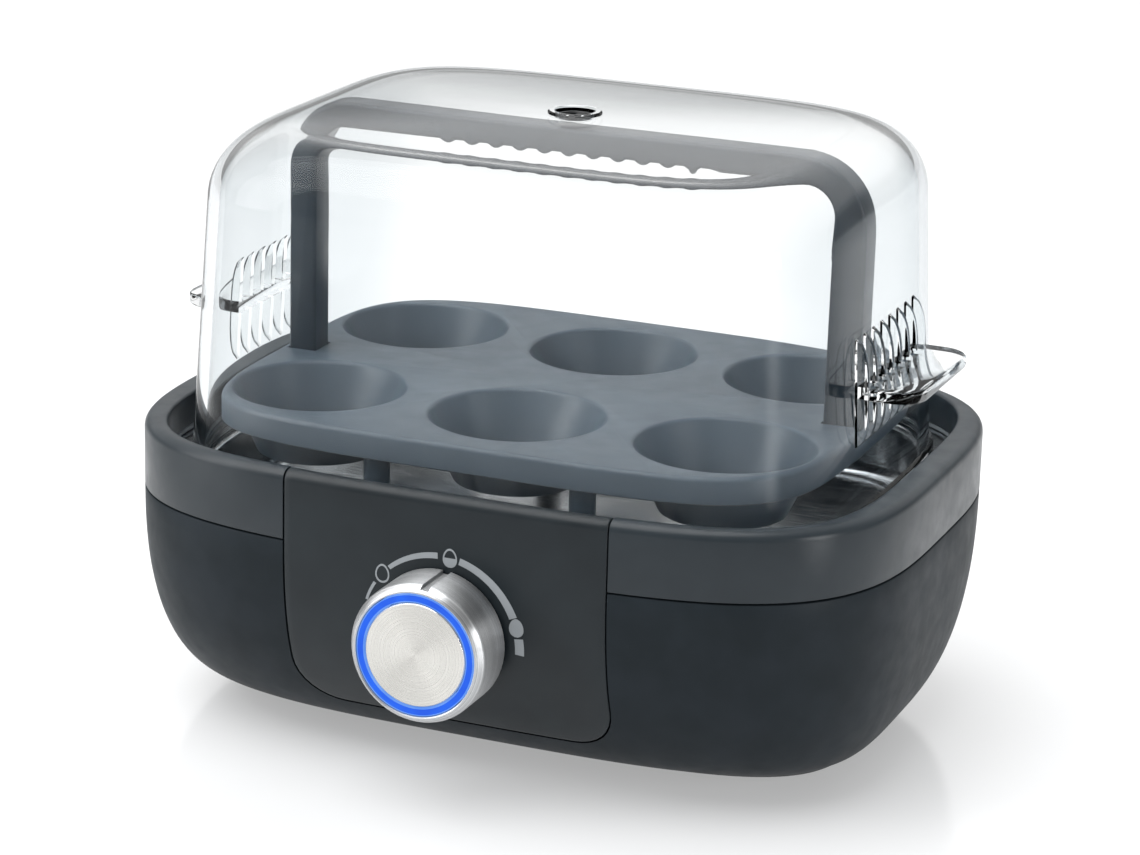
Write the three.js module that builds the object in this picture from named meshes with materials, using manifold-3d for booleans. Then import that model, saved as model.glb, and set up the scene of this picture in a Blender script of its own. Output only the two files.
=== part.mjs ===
// An electric egg cooker for six eggs: a moulded base with a steel water bowl, a timer dial
// with a start button, a lift-out egg tray with a carry handle, and a clear lid.
// Millimetres, +Z up, +X along the long side, the dial faces -Y, and the feet stand on z = 0.
import * as THREE from "three";
import { mergeVertices } from "three/addons/utils/BufferGeometryUtils.js";
import Module from "manifold-3d";

const wasm = await Module();
wasm.setup();

// ---------------------------------------------------------------- driving dimensions

// housing: its plan is a superellipse, and its side is straight above the seam
const bodyHalfLength = 93;
const bodyHalfDepth = 71;
const bodySquareness = 3.6;
const rimHeight = 70.4;
const seamHeight = 54;
const seamGap = 0.35;
const clearance = 0.3;

// belly of the shell, from the seam down to the flat underside
const shellBottom = 4;
const baseHalfLength = 75;
const baseHalfDepth = 36;
const bellySquareness = 2.37;
const shellWall = 2.5;

// rim band, with the recess that takes the lid
const rimWidthEnds = 7.2;
const rimWidthSides = 4.6;
const recessSquareness = 4.16;
const rimFillet = 2.4;
const rimInnerFillet = 0.8;
const bandWall = 1.9;
const recessWall = 1.6;
const bandTopWall = 2.2;
const tongueWall = 1.4;
const tongueDepth = 4;

// front panel, which wraps over the rim
const panelHalfWidth = 39;
const panelBottom = 14;
const panelCorner = 11;
const panelWall = 2.2;
const panelWrap = 3.4;
const flangeReach = 3.5;
const flangeWall = 1.4;
const panelRibBite = 0.4;
const panelFrameWidth = 4;

// base plate, feet and screws
const plateInset = 9;
const plateInsetSides = 8;
const plateThickness = 2.6;
const ventSlotCount = 7;
const ventSlotPitch = 7;
const ventSlotWidth = 2;
const ventSlotFront = -14;
const ventSlotLength = 12;
const ledgeWidth = 6;
const ledgeThickness = 2.2;
const footInnerEnd = 43;
const footSideEnd = 14;
const footBottom = 0.8;
const footTop = 6.5;
const footFlare = 1;
const padThickness = 2;
const padMargin = 1.3;
const bossRadius = 4.2;
const bossTop = 20;
const screwRadius = 1.3;
const screwHeadRadius = 2.7;
const screwHeadHeight = 1.3;
const screwLength = 11;
const boardScrewLength = 7;
const screwInsetEnds = 16;
const screwInsetSides = 8;

// water bowl
const flangeTop = 61;
const bowlSheet = 0.9;
const bowlFloor = 46.5;
const bowlFilletDrop = 5;
const bowlGapSides = 1.6;
const gasketThickness = 1.2;
const supportWall = 2;
const supportInset = 5.5;
const webGap = 0.1;
const webThickness = 2;

// lid
const lidGapEnds = 7.2;
const lidGapSides = 2.4;
const lidHeight = 80.7;
const lidSquareness = 4.7;
const lidDraft = 0.052;
const lidWall = 2.3;
const lidShoulder = 17;
const lidCrown = 1.4;
const lidBead = 0.9;
const lidBeadHeight = 1.8;
const ventRadius = 4.8;
const ventCollarRadius = 6.3;
const ventRimWall = 1.1;
const ventBarHalf = 0.6;
const ventCollarHeight = 0.7;
const wingOverhang = 12.9;
const wingHalfWidth = 21;
const wingThickness = 2.8;
const wingTop = 31.2;
const wingCorner = 7;
const finCount = 8;
const finPitch = 5.9;
const finThickness = 1.8;
const finReach = 3;
const finRise = 11;
const finSlope = 4.5;

// egg tray
const trayTop = 78;
const trayGapEnds = 2.4;
const trayGapSides = 3.2;
const trayPlate = 1.8;
const traySkirt = 6.3;
const trayWall = 1.5;
const trayFillet = 1.2;
const wellRadius = 20;
const wellMouth = 13;
const wellDepth = 15;
const wellBulge = 0.486;
const wellWall = 1.5;
const wellEdgeEnds = 3;
const wellEdgeSides = 8.3;
const wellWeb = 5;
const legRadius = 3;
const legInset = 7;

// carry handle
const postWidth = 7;
const postInset = 2;
const handleDepth = 8;
const beamThickness = 5.5;
const handleTop = 59.6;
const handleCorner = 14.5;
const handleFoot = 9;
const gripCount = 11;
const gripPitch = 6.06;
const gripHeight = 0.8;
const gripHalfWidth = 1.9;

// dial
const dialHeight = 38;
const dialGap = 0.4;
const dialDepth = 12.6;
const dialRadius = 16;
const dialChamfer = 1.7;
const dialWall = 1.5;
const pointerAngle = 7;
const pointerWidth = 2;
const pointerDepth = 0.9;
const lightRingOuter = 13.9;
const lightRingInner = 12.2;
const buttonRadius = 11.9;
const buttonThickness = 1.8;
const coreBack = 1.2;
const coreThickness = 2.4;
const hubHeight = 3;
const hubWall = 2;
const stemRadius = 2.4;
const shaftWall = 1.3;
const bushWall = 1.6;
const seatRadius = 14.6;
const seatDepth = 9;
const seatBacking = 2;
const springWire = 0.35;
const springGap = 1.4;
const springTurns = 2.5;
const encoderSize = 11;
const encoderGap = 1.12;
const encoderDepth = 6;
const switchHalf = 3.5;
const switchDepth = 3.5;
const dialBoardHalf = 22;
const stroke = 1.5;

// electrics
const elementHalfLength = 45.8;
const elementHalfDepth = 20.4;
const elementRadius = 3.2;
const spreaderMargin = 8;
const spreaderThickness = 3;
const thermostatRadius = 8;
const thermostatHeight = 11;
const bladeLength = 7;
const bladeWidth = 6;
const fuseRadius = 2.2;
const fuseLength = 16;
const fusePlace = 24;
const boardThickness = 1.6;
const boardHalfLength = 44;
const boardDepth = 34;
const boardHeight = 14;
const boardFront = -17;
const postRadius = 3.2;
const glandBore = 3;
const glandWall = 1.1;
const glandLip = 1.2;
const glandProud = 1.6;
const glandHeight = 33;
const glandBossWall = 2;
const glandInside = 6;

// how finely curves are cut into facets
const outlineSteps = 32;
const bellySteps = 4;
const roundSteps = 20;
const wellSteps = 16;
const smallSteps = 12;

// ---------------------------------------------------------------- derived sizes

const recessHalfLength = bodyHalfLength - rimWidthEnds;
const recessHalfDepth = bodyHalfDepth - rimWidthSides;
const lidFootHalfLength = recessHalfLength - lidGapEnds;
const lidFootHalfDepth = recessHalfDepth - lidGapSides;
const lidFoot = flangeTop + clearance;
const wingReach = lidFootHalfLength + wingOverhang;
const trayInLid = trayTop - lidFoot;
const trayHalfLength = lidFootHalfLength - lidDraft * trayInLid - lidWall - trayGapEnds;
const trayHalfDepth = lidFootHalfDepth - lidDraft * trayInLid - lidWall - trayGapSides;
const wellReachX = trayHalfLength - wellEdgeEnds - wellRadius;
const wellRowY = trayHalfDepth - wellEdgeSides - wellRadius;
const wellColumns = 1 + Math.floor((2 * wellReachX) / (2 * wellRadius + wellWeb));
const wellPitch = (2 * wellReachX) / (wellColumns - 1);
const plateHalfLength = baseHalfLength - plateInset;
const plateHalfDepth = baseHalfDepth - plateInsetSides;
const ledgeBottom = shellBottom + plateThickness + clearance;
const ledgeTop = ledgeBottom + ledgeThickness;
const gasketBottom = flangeTop + clearance;
const recessBottom = gasketBottom + gasketThickness + clearance;
const flangeBottom = flangeTop - bowlSheet;
const panelFlangeTop = flangeBottom - 2 * clearance;
const bowlHalfLength = lidFootHalfLength - lidWall;
const bowlHalfDepth = lidFootHalfDepth - lidWall - bowlGapSides;
const dialBack = bodyHalfDepth + dialGap;
const shaftRadius = stemRadius + clearance + shaftWall;
const bushRadius = shaftRadius + clearance + bushWall;
const glandReach = bodyHalfDepth + glandProud;
const assemblyShift = (dialBack + dialDepth - glandReach) / 2;

// ---------------------------------------------------------------- solids from geometries

const MERGE_TOLERANCE = 1e-4;

// A closed three.js geometry as a solid that can be joined and cut.
function solidFrom(geometry) {
  const bare = new THREE.BufferGeometry();
  bare.setAttribute("position", geometry.getAttribute("position"));
  bare.setIndex(geometry.index);
  const merged = mergeVertices(bare, MERGE_TOLERANCE);
  const corners = merged.index.array;
  const kept = [];
  for (let i = 0; i < corners.length; i += 3) {
    const [a, b, c] = corners.slice(i, i + 3);
    if (a !== b && b !== c && c !== a) kept.push(a, b, c);
  }
  const mesh = new wasm.Mesh({
    numProp: 3,
    vertProperties: new Float32Array(merged.getAttribute("position").array),
    triVerts: new Uint32Array(kept),
  });
  return new wasm.Manifold(mesh);
}

// A solid's faces as a three.js geometry.
function geometryFrom(solid) {
  const faces = solid.getMesh();
  const geometry = new THREE.BufferGeometry();
  geometry.setAttribute("position", new THREE.BufferAttribute(faces.vertProperties, 3));
  geometry.setIndex(new THREE.BufferAttribute(faces.triVerts, 1));
  geometry.computeVertexNormals();
  return geometry;
}

const join = (solids) => solids.reduce((whole, piece) => whole.add(piece));
const cut = (solid, tools) => tools.reduce((rest, tool) => rest.subtract(tool), solid);

// One level of a squared lathe: a superellipse with these half sizes at height z.
const ring = (halfLength, halfDepth, squareness, z) => ({ halfLength, halfDepth, squareness, z });
const circle = (radius, z) => ring(radius, radius, 2, z);
const axisPoint = (z) => circle(0, z);

// A power that keeps the sign, with a value next to nought taken as nought.
const signedPower = (value, power) =>
  Math.abs(value) < 1e-9 ? 0 : Math.sign(value) * Math.abs(value) ** power;

// A lathe whose every level is a superellipse instead of a circle.
function squaredLathe(rings, steps = outlineSteps) {
  const profile = rings.map((level) => new THREE.Vector2(Math.max(level.halfLength, 0), level.z));
  const geometry = new THREE.LatheGeometry(profile, steps);
  const position = geometry.getAttribute("position");
  for (let i = 0; i < position.count; i += 1) {
    const level = rings[i % rings.length];
    const turn = ((Math.floor(i / rings.length) % steps) / steps) * 2 * Math.PI;
    const power = 2 / level.squareness;
    const x = level.halfLength * signedPower(Math.sin(turn), power);
    const y = -level.halfDepth * signedPower(Math.cos(turn), power);
    position.setXYZ(i, x, y, level.z);
  }
  return solidFrom(geometry);
}

// A lathe round a hollow: the profile closes on itself.
const closedLathe = (rings, steps) => squaredLathe([...rings, rings[0]], steps);

// Round lathes from [radius, z] points.
const circles = (points) => points.map(([radius, z]) => circle(radius, z));
const roundLathe = (points, steps = roundSteps) => squaredLathe(circles(points), steps);
const roundRing = (points, steps = roundSteps) => closedLathe(circles(points), steps);

function box(low, high) {
  const size = high.map((value, i) => value - low[i]);
  const geometry = new THREE.BoxGeometry(...size);
  geometry.translate(...low.map((value, i) => value + size[i] / 2));
  return solidFrom(geometry);
}

function cylinder(radius, low, high, [x, y] = [0, 0], steps = smallSteps) {
  const geometry = new THREE.CylinderGeometry(radius, radius, high - low, steps);
  geometry.rotateX(Math.PI / 2);
  geometry.translate(x, y, (low + high) / 2);
  return solidFrom(geometry);
}

// A flat outline extruded upwards from z = low to z = high.
function plateOf(outline, low, high, curveSegments = 4) {
  const geometry = new THREE.ExtrudeGeometry(outline, {
    depth: high - low,
    bevelEnabled: false,
    curveSegments,
  });
  geometry.translate(0, 0, low);
  return solidFrom(geometry);
}

// An outline drawn in X and Z, extruded along Y from y = front to y = back.
function slabOf(outline, front, back, curveSegments = 4) {
  const geometry = new THREE.ExtrudeGeometry(outline, {
    depth: back - front,
    bevelEnabled: false,
    curveSegments,
  });
  geometry.rotateX(Math.PI / 2);
  geometry.translate(0, back, 0);
  return solidFrom(geometry);
}

// A round bar along a path, with flat closed ends.
function barAlong(path, radius, steps, sides = 8) {
  const section = new THREE.Shape();
  for (let i = 0; i < sides; i += 1) {
    const turn = (i / sides) * 2 * Math.PI;
    const point = [radius * Math.cos(turn), radius * Math.sin(turn)];
    if (i) section.lineTo(...point);
    else section.moveTo(...point);
  }
  return solidFrom(new THREE.ExtrudeGeometry(section, { steps, extrudePath: path, bevelEnabled: false }));
}

// ---------------------------------------------------------------- the body's surface

// The body's outline at height z, moved inwards by an inset.
function bodyRing(z, inset = 0) {
  const drop = Math.max(0, seamHeight - z) / (seamHeight - shellBottom - inset);
  const swell = (1 - Math.min(drop, 1) ** bellySquareness) ** (1 / bellySquareness);
  return ring(
    baseHalfLength + (bodyHalfLength - inset - baseHalfLength) * swell,
    baseHalfDepth + (bodyHalfDepth - inset - baseHalfDepth) * swell,
    bodySquareness,
    z,
  );
}

// The body's outlines from height low to height high, closest together where the belly curves most.
function bodyRings(low, high, inset = 0) {
  const depth = seamHeight - shellBottom - inset;
  const dropAt = (z) => Math.min(1, Math.max(0, seamHeight - z) / depth);
  const [first, last] = [low, high].map((z) => Math.acos(dropAt(z) ** (bellySquareness / 2)));
  const rings = [];
  for (let i = 0; low < seamHeight && i <= bellySteps; i += 1) {
    const angle = first + ((last - first) * i) / bellySteps;
    rings.push(bodyRing(seamHeight - depth * Math.max(0, Math.cos(angle)) ** (2 / bellySquareness), inset));
  }
  if (low >= seamHeight) rings.push(bodyRing(low, inset));
  if (high > seamHeight) rings.push(bodyRing(high, inset));
  return rings;
}

// The layer of the body between two insets, from height low to height high.
function bodyLayer(outer, inner, low, high) {
  return closedLathe([...bodyRings(low, high, outer), ...bodyRings(low, high, inner).reverse()]);
}

// The rounded edge at the top of the rim.
function rimEdge() {
  const rings = [];
  const steps = 3;
  for (let i = 0; i <= steps; i += 1) {
    const turn = (i / steps) * (Math.PI / 2);
    const inset = rimFillet * (1 - Math.cos(turn));
    rings.push(bodyRing(rimHeight - rimFillet * (1 - Math.sin(turn)), inset));
  }
  return rings;
}

const recessRing = (z, outset = 0) =>
  ring(recessHalfLength + outset, recessHalfDepth + outset, recessSquareness, z);

// The panel's front outline grown by a margin, as a block through the front wall.
function panelBlock(margin) {
  const half = panelHalfWidth + margin;
  const bottom = panelBottom - margin;
  const corner = panelCorner + margin;
  const top = rimHeight + 10;
  const outline = new THREE.Shape();
  outline.moveTo(half, top);
  outline.lineTo(-half, top);
  outline.lineTo(-half, bottom + corner);
  outline.absarc(-half + corner, bottom + corner, corner, Math.PI, 1.5 * Math.PI);
  outline.absarc(half - corner, bottom + corner, corner, 1.5 * Math.PI, 2 * Math.PI);
  return slabOf(outline, -bodyHalfDepth - 20, -baseHalfDepth / 2);
}

// What the front panel and its flange take out of the shell and the rim band.
function panelPocket() {
  const faceCut = bodyLayer(-5, shellWall + clearance, panelBottom - 8, rimHeight + 5);
  const wrapCut = closedLathe([
    bodyRing(rimHeight - bandTopWall - clearance, -5),
    bodyRing(rimHeight + 5, -5),
    bodyRing(rimHeight + 5, panelWrap + seamGap),
    bodyRing(rimHeight - bandTopWall - clearance, panelWrap + seamGap),
  ]);
  const flangeTopHeight = panelFlangeTop + clearance;
  const flangeCut = bodyLayer(
    shellWall - 0.5,
    shellWall + clearance + flangeWall + clearance,
    panelBottom - flangeReach - 3,
    flangeTopHeight,
  );
  return join([
    faceCut.intersect(panelBlock(0)),
    wrapCut.intersect(panelBlock(0)),
    flangeCut.intersect(panelBlock(flangeReach + clearance)),
  ]);
}

// ---------------------------------------------------------------- base pieces

const screwX = plateHalfLength - screwInsetEnds;
const screwY = plateHalfDepth - screwInsetSides;
const screwPlaces = [
  [-screwX, -screwY],
  [screwX, -screwY],
  [screwX, screwY],
  [-screwX, screwY],
];
const corners = [
  [-1, -1],
  [1, -1],
  [1, 1],
  [-1, 1],
];

// A quarter of the ring between the base plate and the shell, at one corner of the body.
function cornerBlock([sideX, sideY], margin, low, high) {
  const nearX = sideX * (footInnerEnd + margin);
  const farX = sideX * (bodyHalfLength + 20);
  const nearY = sideY * (footSideEnd + margin);
  const farY = sideY * (bodyHalfDepth + 20);
  return box(
    [Math.min(nearX, farX), Math.min(nearY, farY), low],
    [Math.max(nearX, farX), Math.max(nearY, farY), high],
  );
}

const plateRing = (z, outset = 0) =>
  ring(plateHalfLength + outset, plateHalfDepth + outset, bodySquareness, z);
const padOuter = (z, outset) =>
  ring(baseHalfLength - padMargin + outset, baseHalfDepth - padMargin + outset, bodySquareness, z);

// The four moulded feet: a sloping hoop under the belly, kept only at the corners.
function feet() {
  const hoop = closedLathe([
    plateRing(footBottom, 1),
    padOuter(footBottom, padMargin + footFlare),
    bodyRing(footTop, clearance),
    plateRing(footTop, 1.5),
  ]);
  const recess = closedLathe([
    plateRing(-1, 1 + padMargin - clearance),
    padOuter(-1, clearance),
    padOuter(padThickness + clearance, clearance),
    plateRing(padThickness + clearance, 1 + padMargin - clearance),
  ]);
  return corners.map((side) =>
    hoop
      .intersect(cornerBlock(side, 0, -1, footTop + 1))
      .subtract(recess.intersect(cornerBlock(side, padMargin - clearance, -2, footTop))),
  );
}

// The gland's lip beds on a flat seat that is sunk into the curved back wall.
const glandLipRadius = glandBore + glandWall + glandLip;
const glandSeat = bodyRing(glandHeight - glandLipRadius - clearance).halfDepth;
const rearCylinder = (radius, front, back) =>
  cylinder(radius, front, back, [0, 0], roundSteps).rotate([-90, 0, 0]).translate([0, 0, glandHeight]);

function housingShell() {
  const floorTop = shellBottom + shellWall;
  const webBottom = dialHeight + bushRadius + webGap;
  const webTop = webBottom + webThickness;
  const inner = bodyRings(floorTop, webBottom, shellWall).reverse();
  const supportTop = flangeBottom - clearance;
  const tub = closedLathe([
    plateRing(ledgeBottom, clearance),
    plateRing(shellBottom, clearance),
    ...bodyRings(shellBottom, seamHeight),
    bodyRing(seamHeight, shellWall),
    bodyRing(webTop, shellWall),
    bodyRing(webTop, supportInset),
    bodyRing(supportTop, supportInset),
    bodyRing(supportTop, supportInset + supportWall),
    bodyRing(webBottom, supportInset + supportWall),
    ...inner,
    plateRing(floorTop, clearance + shellWall),
    plateRing(ledgeTop, clearance + shellWall),
    plateRing(ledgeTop, -ledgeWidth),
    plateRing(ledgeBottom, -ledgeWidth),
  ]);
  const bosses = screwPlaces.map((place) => cylinder(bossRadius, ledgeBottom, bossTop, place));
  const bores = screwPlaces.map((place) =>
    cylinder(screwRadius + clearance, 0, shellBottom + screwLength + 2, place),
  );
  const body = squaredLathe([
    axisPoint(shellBottom),
    ...bodyRings(shellBottom, seamHeight),
    axisPoint(seamHeight),
  ]);
  const glandBoss = rearCylinder(glandLipRadius + glandBossWall, glandSeat - shellWall, bodyHalfDepth + 1);
  const glandHole = rearCylinder(glandBore + glandWall + clearance, glandSeat - 20, bodyHalfDepth + 1);
  const glandSink = rearCylinder(glandLipRadius + clearance, glandSeat, bodyHalfDepth + 5);
  const whole = join([tub, ...feet(), ...bosses, glandBoss.intersect(body)]);
  return cut(whole, [...bores, panelPocket(), glandHole, glandSink]);
}

function rimBand() {
  const bottom = seamHeight + seamGap;
  const innerTop = rimHeight - bandTopWall;
  const tongueTop = flangeBottom - clearance - 0.5;
  const tongueInset = shellWall + clearance;
  const band = closedLathe([
    bodyRing(bottom, tongueInset),
    bodyRing(bottom),
    ...rimEdge(),
    recessRing(rimHeight, rimInnerFillet),
    recessRing(rimHeight - rimInnerFillet),
    recessRing(recessBottom),
    recessRing(recessBottom, recessWall),
    recessRing(innerTop, recessWall),
    bodyRing(innerTop, bandWall),
    bodyRing(tongueTop, bandWall),
    bodyRing(tongueTop - tongueWall, tongueInset + tongueWall),
    bodyRing(bottom - tongueDepth, tongueInset + tongueWall),
    bodyRing(bottom - tongueDepth, tongueInset),
  ]);
  return cut(band, [panelPocket()]);
}

function frontPanel() {
  const innerTop = rimHeight - bandTopWall;
  const lowest = panelBottom - 2;
  const face = closedLathe([
    ...bodyRings(lowest, seamHeight),
    ...rimEdge(),
    bodyRing(rimHeight, panelWrap),
    bodyRing(innerTop, panelWrap),
    bodyRing(innerTop, panelWall),
    ...bodyRings(lowest, seamHeight, panelWall).reverse(),
  ]).intersect(panelBlock(-seamGap));
  const flangeInset = shellWall + clearance;
  const frameHole = panelBlock(-panelFrameWidth);
  const flangeLow = panelBottom - flangeReach - 2;
  const flange = bodyLayer(flangeInset, flangeInset + flangeWall, flangeLow, panelFlangeTop)
    .intersect(panelBlock(flangeReach))
    .subtract(frameHole);
  const ribLow = panelBottom - 1;
  const rib = bodyLayer(panelWall - panelRibBite, flangeInset + panelRibBite, ribLow, panelFlangeTop)
    .intersect(panelBlock(-seamGap))
    .subtract(frameHole);
  const seatFront = dialBack - clearance - 0.1;
  const onDialAxis = (radius, front, back) =>
    cylinder(radius, front, back, [0, 0], roundSteps).rotate([-90, 0, 0]).translate([0, 0, dialHeight]);
  const seat = onDialAxis(seatRadius, -seatFront, -seatFront + seatDepth)
    .intersect(bodyLayer(-5, panelWall + seatBacking, panelBottom, rimHeight));
  const bore = onDialAxis(bushRadius + clearance, -seatFront - 10, -seatFront + 20);
  return cut(join([face, flange, rib, seat]), [bore]);
}

function basePlate() {
  const plateTop = shellBottom + plateThickness;
  const plate = squaredLathe([
    axisPoint(shellBottom),
    plateRing(shellBottom),
    plateRing(plateTop),
    axisPoint(plateTop),
  ]);
  const bore = screwRadius + clearance;
  const posts = boardScrewPlaces.map((place) =>
    cylinder(postRadius, shellBottom + 1, boardHeight - clearance, place),
  );
  const postBores = boardScrewPlaces.map((place) =>
    cylinder(bore, boardHeight - boardScrewLength, boardHeight, place),
  );
  const holes = screwPlaces.map((place) => cylinder(bore, 0, bossTop, place));
  const sinks = screwPlaces.map((place) =>
    cylinder(screwHeadRadius + clearance, 0, shellBottom + screwHeadHeight + clearance, place),
  );
  const slots = [];
  for (let i = 0; i < ventSlotCount; i += 1) {
    const x = (i - (ventSlotCount - 1) / 2) * ventSlotPitch;
    slots.push(
      box(
        [x - ventSlotWidth / 2, ventSlotFront, 0],
        [x + ventSlotWidth / 2, ventSlotFront + ventSlotLength, plateTop + 1],
      ),
    );
  }
  return cut(join([plate, ...posts]), [...postBores, ...holes, ...sinks, ...slots]);
}

// A pan-head screw standing on its head at z = 0.
const screw = (length) =>
  roundLathe(
    [
      [0, 0],
      [screwHeadRadius, 0],
      [screwHeadRadius, screwHeadHeight],
      [screwRadius, screwHeadHeight],
      [screwRadius, length - 1],
      [0, length],
    ],
    smallSteps,
  );

function footPad(side) {
  const hoop = closedLathe([
    plateRing(0, 1 + padMargin),
    padOuter(0, 0),
    padOuter(padThickness, 0),
    plateRing(padThickness, 1 + padMargin),
  ]);
  return hoop.intersect(cornerBlock(side, padMargin, -1, padThickness + 1));
}

function heatingBowl() {
  const outer = (outset, z) => ring(bowlHalfLength + outset, bowlHalfDepth + outset, lidSquareness, z);
  const flangeEdge = recessWall - clearance;
  const filletMiddle = bowlFilletDrop * (1 - Math.SQRT1_2);
  return squaredLathe([
    axisPoint(bowlFloor),
    outer(-bowlFilletDrop, bowlFloor),
    outer(-filletMiddle, bowlFloor + filletMiddle),
    outer(0, bowlFloor + bowlFilletDrop),
    outer(0, flangeBottom),
    recessRing(flangeBottom, flangeEdge),
    recessRing(flangeTop, flangeEdge),
    outer(-bowlSheet, flangeTop),
    outer(-bowlSheet, bowlFloor + bowlFilletDrop),
    outer(-filletMiddle - bowlSheet, bowlFloor + filletMiddle + bowlSheet),
    outer(-bowlFilletDrop, bowlFloor + bowlSheet),
    axisPoint(bowlFloor + bowlSheet),
  ]);
}

const bowlGasket = () =>
  closedLathe([
    recessRing(gasketBottom, clearance),
    recessRing(gasketBottom, recessWall - clearance),
    recessRing(gasketBottom + gasketThickness, recessWall - clearance),
    recessRing(gasketBottom + gasketThickness, clearance),
  ]);

// ---------------------------------------------------------------- electrics

const spreaderBottom = bowlFloor - clearance - spreaderThickness;
const elementHeight = spreaderBottom - clearance - elementRadius;

const spreaderRing = (z) =>
  ring(elementHalfLength + spreaderMargin, elementHalfDepth + spreaderMargin, bodySquareness, z);

function heatSpreader() {
  const spreaderTop = spreaderBottom + spreaderThickness;
  return squaredLathe([
    axisPoint(spreaderBottom),
    spreaderRing(spreaderBottom),
    spreaderRing(spreaderTop),
    axisPoint(spreaderTop),
  ]);
}

// The tubular element: an open oval loop whose two cold ends turn towards the back.
function heatingElement() {
  const points = [];
  const turns = 14;
  for (let i = 1; i < turns; i += 1) {
    const turn = Math.PI / 2 + (i / turns) * 2 * Math.PI;
    const x = elementHalfLength * signedPower(Math.cos(turn), 0.7);
    const y = elementHalfDepth * signedPower(Math.sin(turn), 0.7);
    points.push(new THREE.Vector3(x, y, elementHeight));
  }
  return barAlong(new THREE.CatmullRomCurve3(points), elementRadius, 30);
}

// The disc thermostat: a can with a fixing flange and two blade terminals under it.
function thermostat() {
  const top = spreaderBottom - clearance;
  const bottom = top - thermostatHeight;
  const flangeHeight = top - 3;
  const can = roundLathe([
    [0, bottom],
    [thermostatRadius, bottom],
    [thermostatRadius, flangeHeight - 1],
    [thermostatRadius + 2, flangeHeight - 1],
    [thermostatRadius + 2, flangeHeight],
    [thermostatRadius, flangeHeight],
    [thermostatRadius, top],
    [0, top],
  ]);
  const inner = thermostatRadius - 2;
  const blades = [-inner - 1, inner].map((x) =>
    box([x, -bladeWidth / 2, bottom - bladeLength], [x + 1, bladeWidth / 2, bottom + 1]),
  );
  return join([can, ...blades]);
}

function thermalFuse() {
  const geometry = new THREE.CylinderGeometry(fuseRadius, fuseRadius, fuseLength, smallSteps);
  geometry.rotateZ(Math.PI / 2);
  geometry.translate(fusePlace, 0, spreaderBottom - clearance - fuseRadius);
  return solidFrom(geometry);
}

const relaySize = [19, 15, 14];
const capacitorSize = [18, 9, 13];
const buzzerRadius = 6;
const buzzerHeight = 8;
const terminalSize = [24, 9, 8];
const terminalPitch = 8;
const boardMargin = 5;
const boardScrewPlaces = [
  [-boardHalfLength + boardMargin, boardFront + boardMargin],
  [boardHalfLength - boardMargin, boardFront + boardMargin],
  [boardHalfLength - boardMargin, boardFront + boardDepth - boardMargin],
  [-boardHalfLength + boardMargin, boardFront + boardDepth - boardMargin],
];

function controlBoard() {
  const board = box(
    [-boardHalfLength, boardFront, boardHeight],
    [boardHalfLength, boardFront + boardDepth, boardHeight + boardThickness],
  );
  const holes = boardScrewPlaces.map((place) =>
    cylinder(screwRadius + clearance, boardHeight - 1, boardHeight + boardThickness + 1, place),
  );
  return cut(board, holes);
}

const onBoard = boardHeight + boardThickness + clearance;
const blockOnBoard = ([x, y], [length, depth, height]) =>
  box([x - length / 2, y - depth / 2, onBoard], [x + length / 2, y + depth / 2, onBoard + height]);

function terminalBlock() {
  const middle = boardFront + boardDepth - 6;
  const block = blockOnBoard([0, middle], terminalSize);
  const mouths = [-terminalPitch, 0, terminalPitch].map((x) =>
    cylinder(1.8, 0, 12, [0, 0], 8)
      .rotate([-90, 0, 0])
      .translate([x, middle - 2, onBoard + terminalSize[2] / 2]),
  );
  return cut(block, mouths);
}

// The grommet in the back wall that the mains lead comes through.
function cordGland() {
  const lipFront = glandSeat + clearance;
  const glandFront = glandSeat - shellWall - glandInside;
  const grommet = roundRing([
    [glandBore, glandFront],
    [glandBore + glandWall, glandFront],
    [glandBore + glandWall, lipFront],
    [glandLipRadius, lipFront],
    [glandLipRadius - 0.6, glandReach],
    [glandBore, glandReach],
  ]);
  return grommet.rotate([-90, 0, 0]).translate([0, 0, glandHeight]);
}

// ---------------------------------------------------------------- dial, whose +Z faces the user

const hubTop = coreBack + coreThickness + hubHeight;
const sleeveInner = dialRadius - dialWall;
const ringBack = coreBack + coreThickness + clearance;
const buttonFront = dialDepth - 0.2;
const buttonBack = buttonFront - buttonThickness;
const panelBackAtEncoder = bodyRing(dialHeight - encoderSize / 2, panelWall + seatBacking).halfDepth;
const encoderFront = panelBackAtEncoder - dialBack - encoderGap;
const stemEnd = encoderFront - encoderDepth - 2;

function dialSleeve() {
  const lip = lightRingOuter + clearance;
  const sleeve = roundRing(
    [
      [sleeveInner, 0],
      [dialRadius, 0],
      [dialRadius, dialDepth - dialChamfer],
      [lip + 0.3, dialDepth],
      [lip, dialDepth],
      [lip, dialDepth - 2],
      [sleeveInner, dialDepth - 2.4],
    ],
    40,
  );
  const groove = box(
    [-pointerWidth / 2, dialRadius - pointerDepth, -1],
    [pointerWidth / 2, dialRadius + 2, dialDepth + 1],
  );
  return cut(sleeve, [groove.rotate([0, 0, -pointerAngle])]);
}

const dialCore = () =>
  roundRing([
    [shaftRadius + clearance, coreBack],
    [sleeveInner - clearance, coreBack],
    [sleeveInner - clearance, coreBack + coreThickness],
    [shaftRadius + clearance + hubWall, coreBack + coreThickness],
    [shaftRadius + clearance + hubWall, hubTop],
    [shaftRadius + clearance, hubTop],
  ]);

const lightRing = () =>
  roundRing(
    [
      [lightRingInner, ringBack],
      [lightRingOuter, ringBack],
      [lightRingOuter, dialDepth - 0.2],
      [lightRingInner, dialDepth - 0.2],
    ],
    32,
  );

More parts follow.
